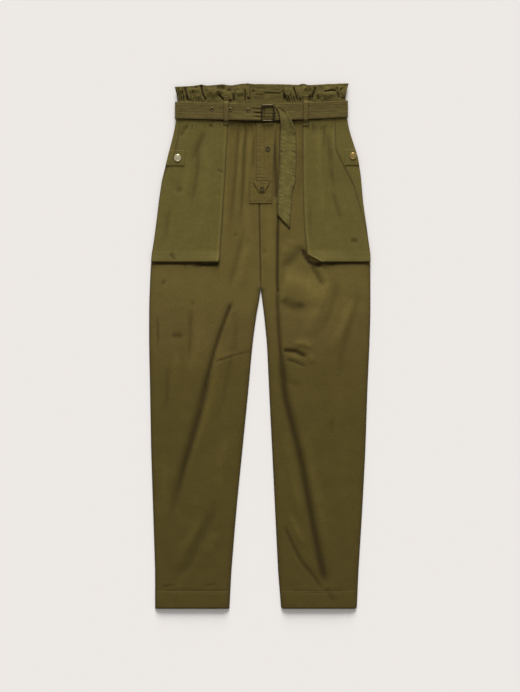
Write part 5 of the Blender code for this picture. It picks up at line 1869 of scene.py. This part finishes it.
@dataclass
class Fittings:
    """Buckle, eyelets, snaps and buttons, each where its solid is."""

    wire: float = 1.5
    corner: float = 4.4

    def build(self, wardrobe: Wardrobe) -> None:
        """Makes every fitting.

        Args:
            wardrobe: the finishes.
        """
        self.buckle(wardrobe)
        for node in ("eyelet_outer", "eyelet_middle", "eyelet_inner"):
            self.eyelet(node, wardrobe)
        for side in ("right", "left"):
            self.snap(f"snap_{side}", wardrobe)
        for node in ("fly_button_upper", "fly_button_lower"):
            self.button(node, wardrobe)

    def middle(self, node: str) -> tuple[float, float, float, float]:
        """A fitting's centre across and along, its underside and its radius, from its solid."""
        low, high = Pattern(node).box()
        return (low[0] + high[0]) / 2, (low[1] + high[1]) / 2, low[2], (high[0] - low[0]) / 2

    def buckle(self, wardrobe: Wardrobe) -> None:
        """Bends the frame and the prong.

        Args:
            wardrobe: the finishes.
        """
        low, high = Pattern("buckle_frame").box()
        mid_x, mid_up, level = (low[0] + high[0]) / 2, (low[1] + high[1]) / 2, (low[2] + high[2]) / 2
        half_w, half_h = (high[0] - low[0]) / 2 - self.wire, (high[1] - low[1]) / 2 - self.wire
        points = []
        for sx, sy, start in ((1, 1, 0), (-1, 1, 90), (-1, -1, 180), (1, -1, 270)):
            for step in range(9):
                angle = math.radians(start + 90.0 * step / 8)
                points.append((mid_x + sx * (half_w - self.corner) + self.corner * math.cos(angle),
                               mid_up + sy * (half_h - self.corner) + self.corner * math.sin(angle), level))
        frame = bent_wire("buckle_frame_bar", np.array(points), self.wire, True, wardrobe.gunmetal)
        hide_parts("buckle_frame")
        reach = self.wire + 0.9 + 0.3
        bar = mid_x + half_w
        angles = np.radians(np.linspace(0.0, 90.0, 9))
        points = [(bar + reach * math.cos(a), mid_up - 0.4, level + reach * math.sin(a)) for a in angles]
        tip = mid_x - half_w - 1.4
        points += [(mix(bar, tip, t), mid_up - 0.4, level + reach - 0.6 * math.sin(math.pi * t))
                   for t in np.linspace(0.08, 1.0, 16)]
        sizes = np.concatenate([np.full(9, 0.95), np.linspace(0.95, 0.75, 15), [0.45]])
        prong = bent_wire("buckle_prong_bar", np.array(points), sizes, False, wardrobe.prong)
        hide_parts("buckle_prong")

    def eyelet(self, node: str, wardrobe: Wardrobe) -> None:
        """Turns one eyelet: a rolled flange round a hole whose inside and bottom are painted shade.

        Args:
            node: its solid.
            wardrobe: the finishes.
        """
        x, up, low, radius = self.middle(node)
        face = max(PILE.top(x + radius * 0.9 * math.cos(a), up + radius * 0.9 * math.sin(a), ["belt_band"])
                   for a in np.arange(0.0, math.tau, 0.7)) + 0.12
        top = face - low + 0.75
        ring = ((0.0, 0.5), (1.7, 0.5), (1.75, top - 0.8), (2.0, top - 0.25), (2.5, top), (3.2, top - 0.1),
                (radius - 0.5, top - 0.3), (radius, top - 0.6), (radius - 0.2, top - 0.75), (2.3, top - 0.8),
                (2.3, 0.2), (0.0, 0.2))
        piece = lathe(f"{node}_ring", x, up, low, tuple(reversed(ring)), wardrobe.eyelet)
        # The hole's inside and its closed bottom take the near-black material: painted shade.
        piece.data.materials.append(wardrobe.barrel)
        for face_of in piece.data.polygons:
            middle = face_of.center / MM - Vector((x, up - GARMENT_LENGTH / 2, low))
            if math.hypot(middle.x, middle.y) < 1.8 and middle.z < top - 0.6:
                face_of.material_index = 1
        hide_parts(node)

    def snap(self, node: str, wardrobe: Wardrobe) -> None:
        """Turns one snap cap: a low dome with a pressed ring.

        Args:
            node: its solid.
            wardrobe: the finishes.
        """
        x, up, _, radius = self.middle(node)
        low = PILE.top(x, up) + 0.1
        cap = ((0.0, 1.45), (0.30 * radius, 1.5), (0.52 * radius, 1.35), (0.60 * radius, 1.15),
               (0.70 * radius, 1.55), (0.84 * radius, 1.75), (0.95 * radius, 1.45), (radius, 0.9),
               (0.97 * radius, 0.35), (0.9 * radius, 0.0), (0.0, 0.0))
        metal = wardrobe.brass if node.endswith("right") else wardrobe.aged_brass
        piece = lathe(f"{node}_cap", x, up, low, tuple(reversed(cap)), metal)
        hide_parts(node)

    def button(self, node: str, wardrobe: Wardrobe) -> None:
        """Turns one small button with a raised rim.

        Args:
            node: its solid.
            wardrobe: the finishes.
        """
        x, up, _, radius = self.middle(node)
        low = PILE.top(x, up) + 0.15
        face = ((0.0, 1.0), (0.5 * radius, 1.05), (0.62 * radius, 1.3), (0.78 * radius, 1.75),
                (0.9 * radius, 1.7), (radius, 1.25), (radius, 0.5), (0.86 * radius, 0.0), (0.0, 0.0))
        piece = lathe(f"{node}_disc", x, up, low, tuple(reversed(face)), wardrobe.button)
        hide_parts(node)


# Studio


@dataclass
class Studio:
    """The table, the light and the camera."""

    view_height: float = 1450.0  # what the picture's long side shows at the table
    lens: float = 100.0
    sensor: float = 36.0
    key_height: float = 21.0  # degrees over the table, from beyond the frill
    key_power: float = 5.02
    key_softness: float = 28.0
    fill_power: float = 0.40
    floor_reach: float = 12000.0  # far enough that the paper's edge is never in view

    def build(self) -> None:
        """Sets up the floor, the lights and the camera."""
        self.floor()
        self.lights()
        self.camera()

    def floor(self) -> None:
        """Lays the paper just under the garment."""
        mesh = bpy.data.meshes.new("studio_floor")
        reach = self.floor_reach
        corners = [at(x, up + GARMENT_LENGTH / 2, -0.05) for x, up in
                   ((-reach, -reach), (reach, -reach), (reach, reach), (-reach, reach))]
        mesh.from_pydata([tuple(c) for c in corners], [], [(0, 1, 2, 3)])
        mesh.materials.append(StudioFloor().material())
        floor = bpy.data.objects.new("studio_floor", mesh)
        bpy.context.scene.collection.objects.link(floor)

    def lights(self) -> None:
        """A distant soft key from beyond the frill, and an even fill."""
        key = bpy.data.lights.new("key", "SUN")
        key.energy = self.key_power
        key.angle = math.radians(self.key_softness)
        lamp = bpy.data.objects.new("key", key)
        lamp.rotation_euler = (math.radians(-(90.0 - self.key_height)), 0.0, 0.0)
        bpy.context.scene.collection.objects.link(lamp)
        world = bpy.data.worlds.new("studio")
        bpy.context.scene.world = world
        world.use_nodes = True
        sky = world.node_tree.nodes["Background"]
        sky.inputs["Color"].default_value = (1.0, 0.985, 0.97, 1.0)
        sky.inputs["Strength"].default_value = self.fill_power
        bpy.context.scene.view_settings.view_transform = "Standard"

    def camera(self) -> None:
        """Looks straight down, the garment's middle in the picture's middle."""
        data = bpy.data.cameras.new("camera")
        data.lens = self.lens
        data.sensor_width = self.sensor
        data.clip_end = 100.0
        distance = self.view_height / 2 * self.lens / (self.sensor / 2) * MM
        eye = bpy.data.objects.new("camera", data)
        eye.location = (0.0, 0.0, distance)
        bpy.context.scene.collection.objects.link(eye)
        bpy.context.scene.camera = eye


def main() -> None:
    """Builds the trousers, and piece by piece."""
    logging.basicConfig(level=logging.INFO, format="%(name)s: %(message)s")
    wardrobe = Wardrobe()
    legs = (Leg("right", RIGHT_FOLDS), Leg("left", LEFT_FOLDS, corner=5.0))
    for leg in legs:
        leg.build(wardrobe)
    waist = Waist()
    waist.build(wardrobe)
    pockets = (Pocket("right", RIGHT_POCKET_FOLDS), Pocket("left", LEFT_POCKET_FOLDS))
    for pocket in pockets:
        pocket.build(wardrobe)
    fly = Fly()
    fly.build(wardrobe)
    for part in (*legs, waist, *pockets, fly):
        part.stitch(wardrobe.thread)
    belt = Belt()
    belt.build(wardrobe)
    belt.stitch(wardrobe.thread)
    loops = Loops()
    loops.build(wardrobe, belt)
    loops.stitch(wardrobe.thread)
    tail = BeltTail()
    tail.build(wardrobe)
    tail.stitch(wardrobe.thread)
    Fittings().build(wardrobe)
    Studio().build()


if __name__ == "__main__":
    main()
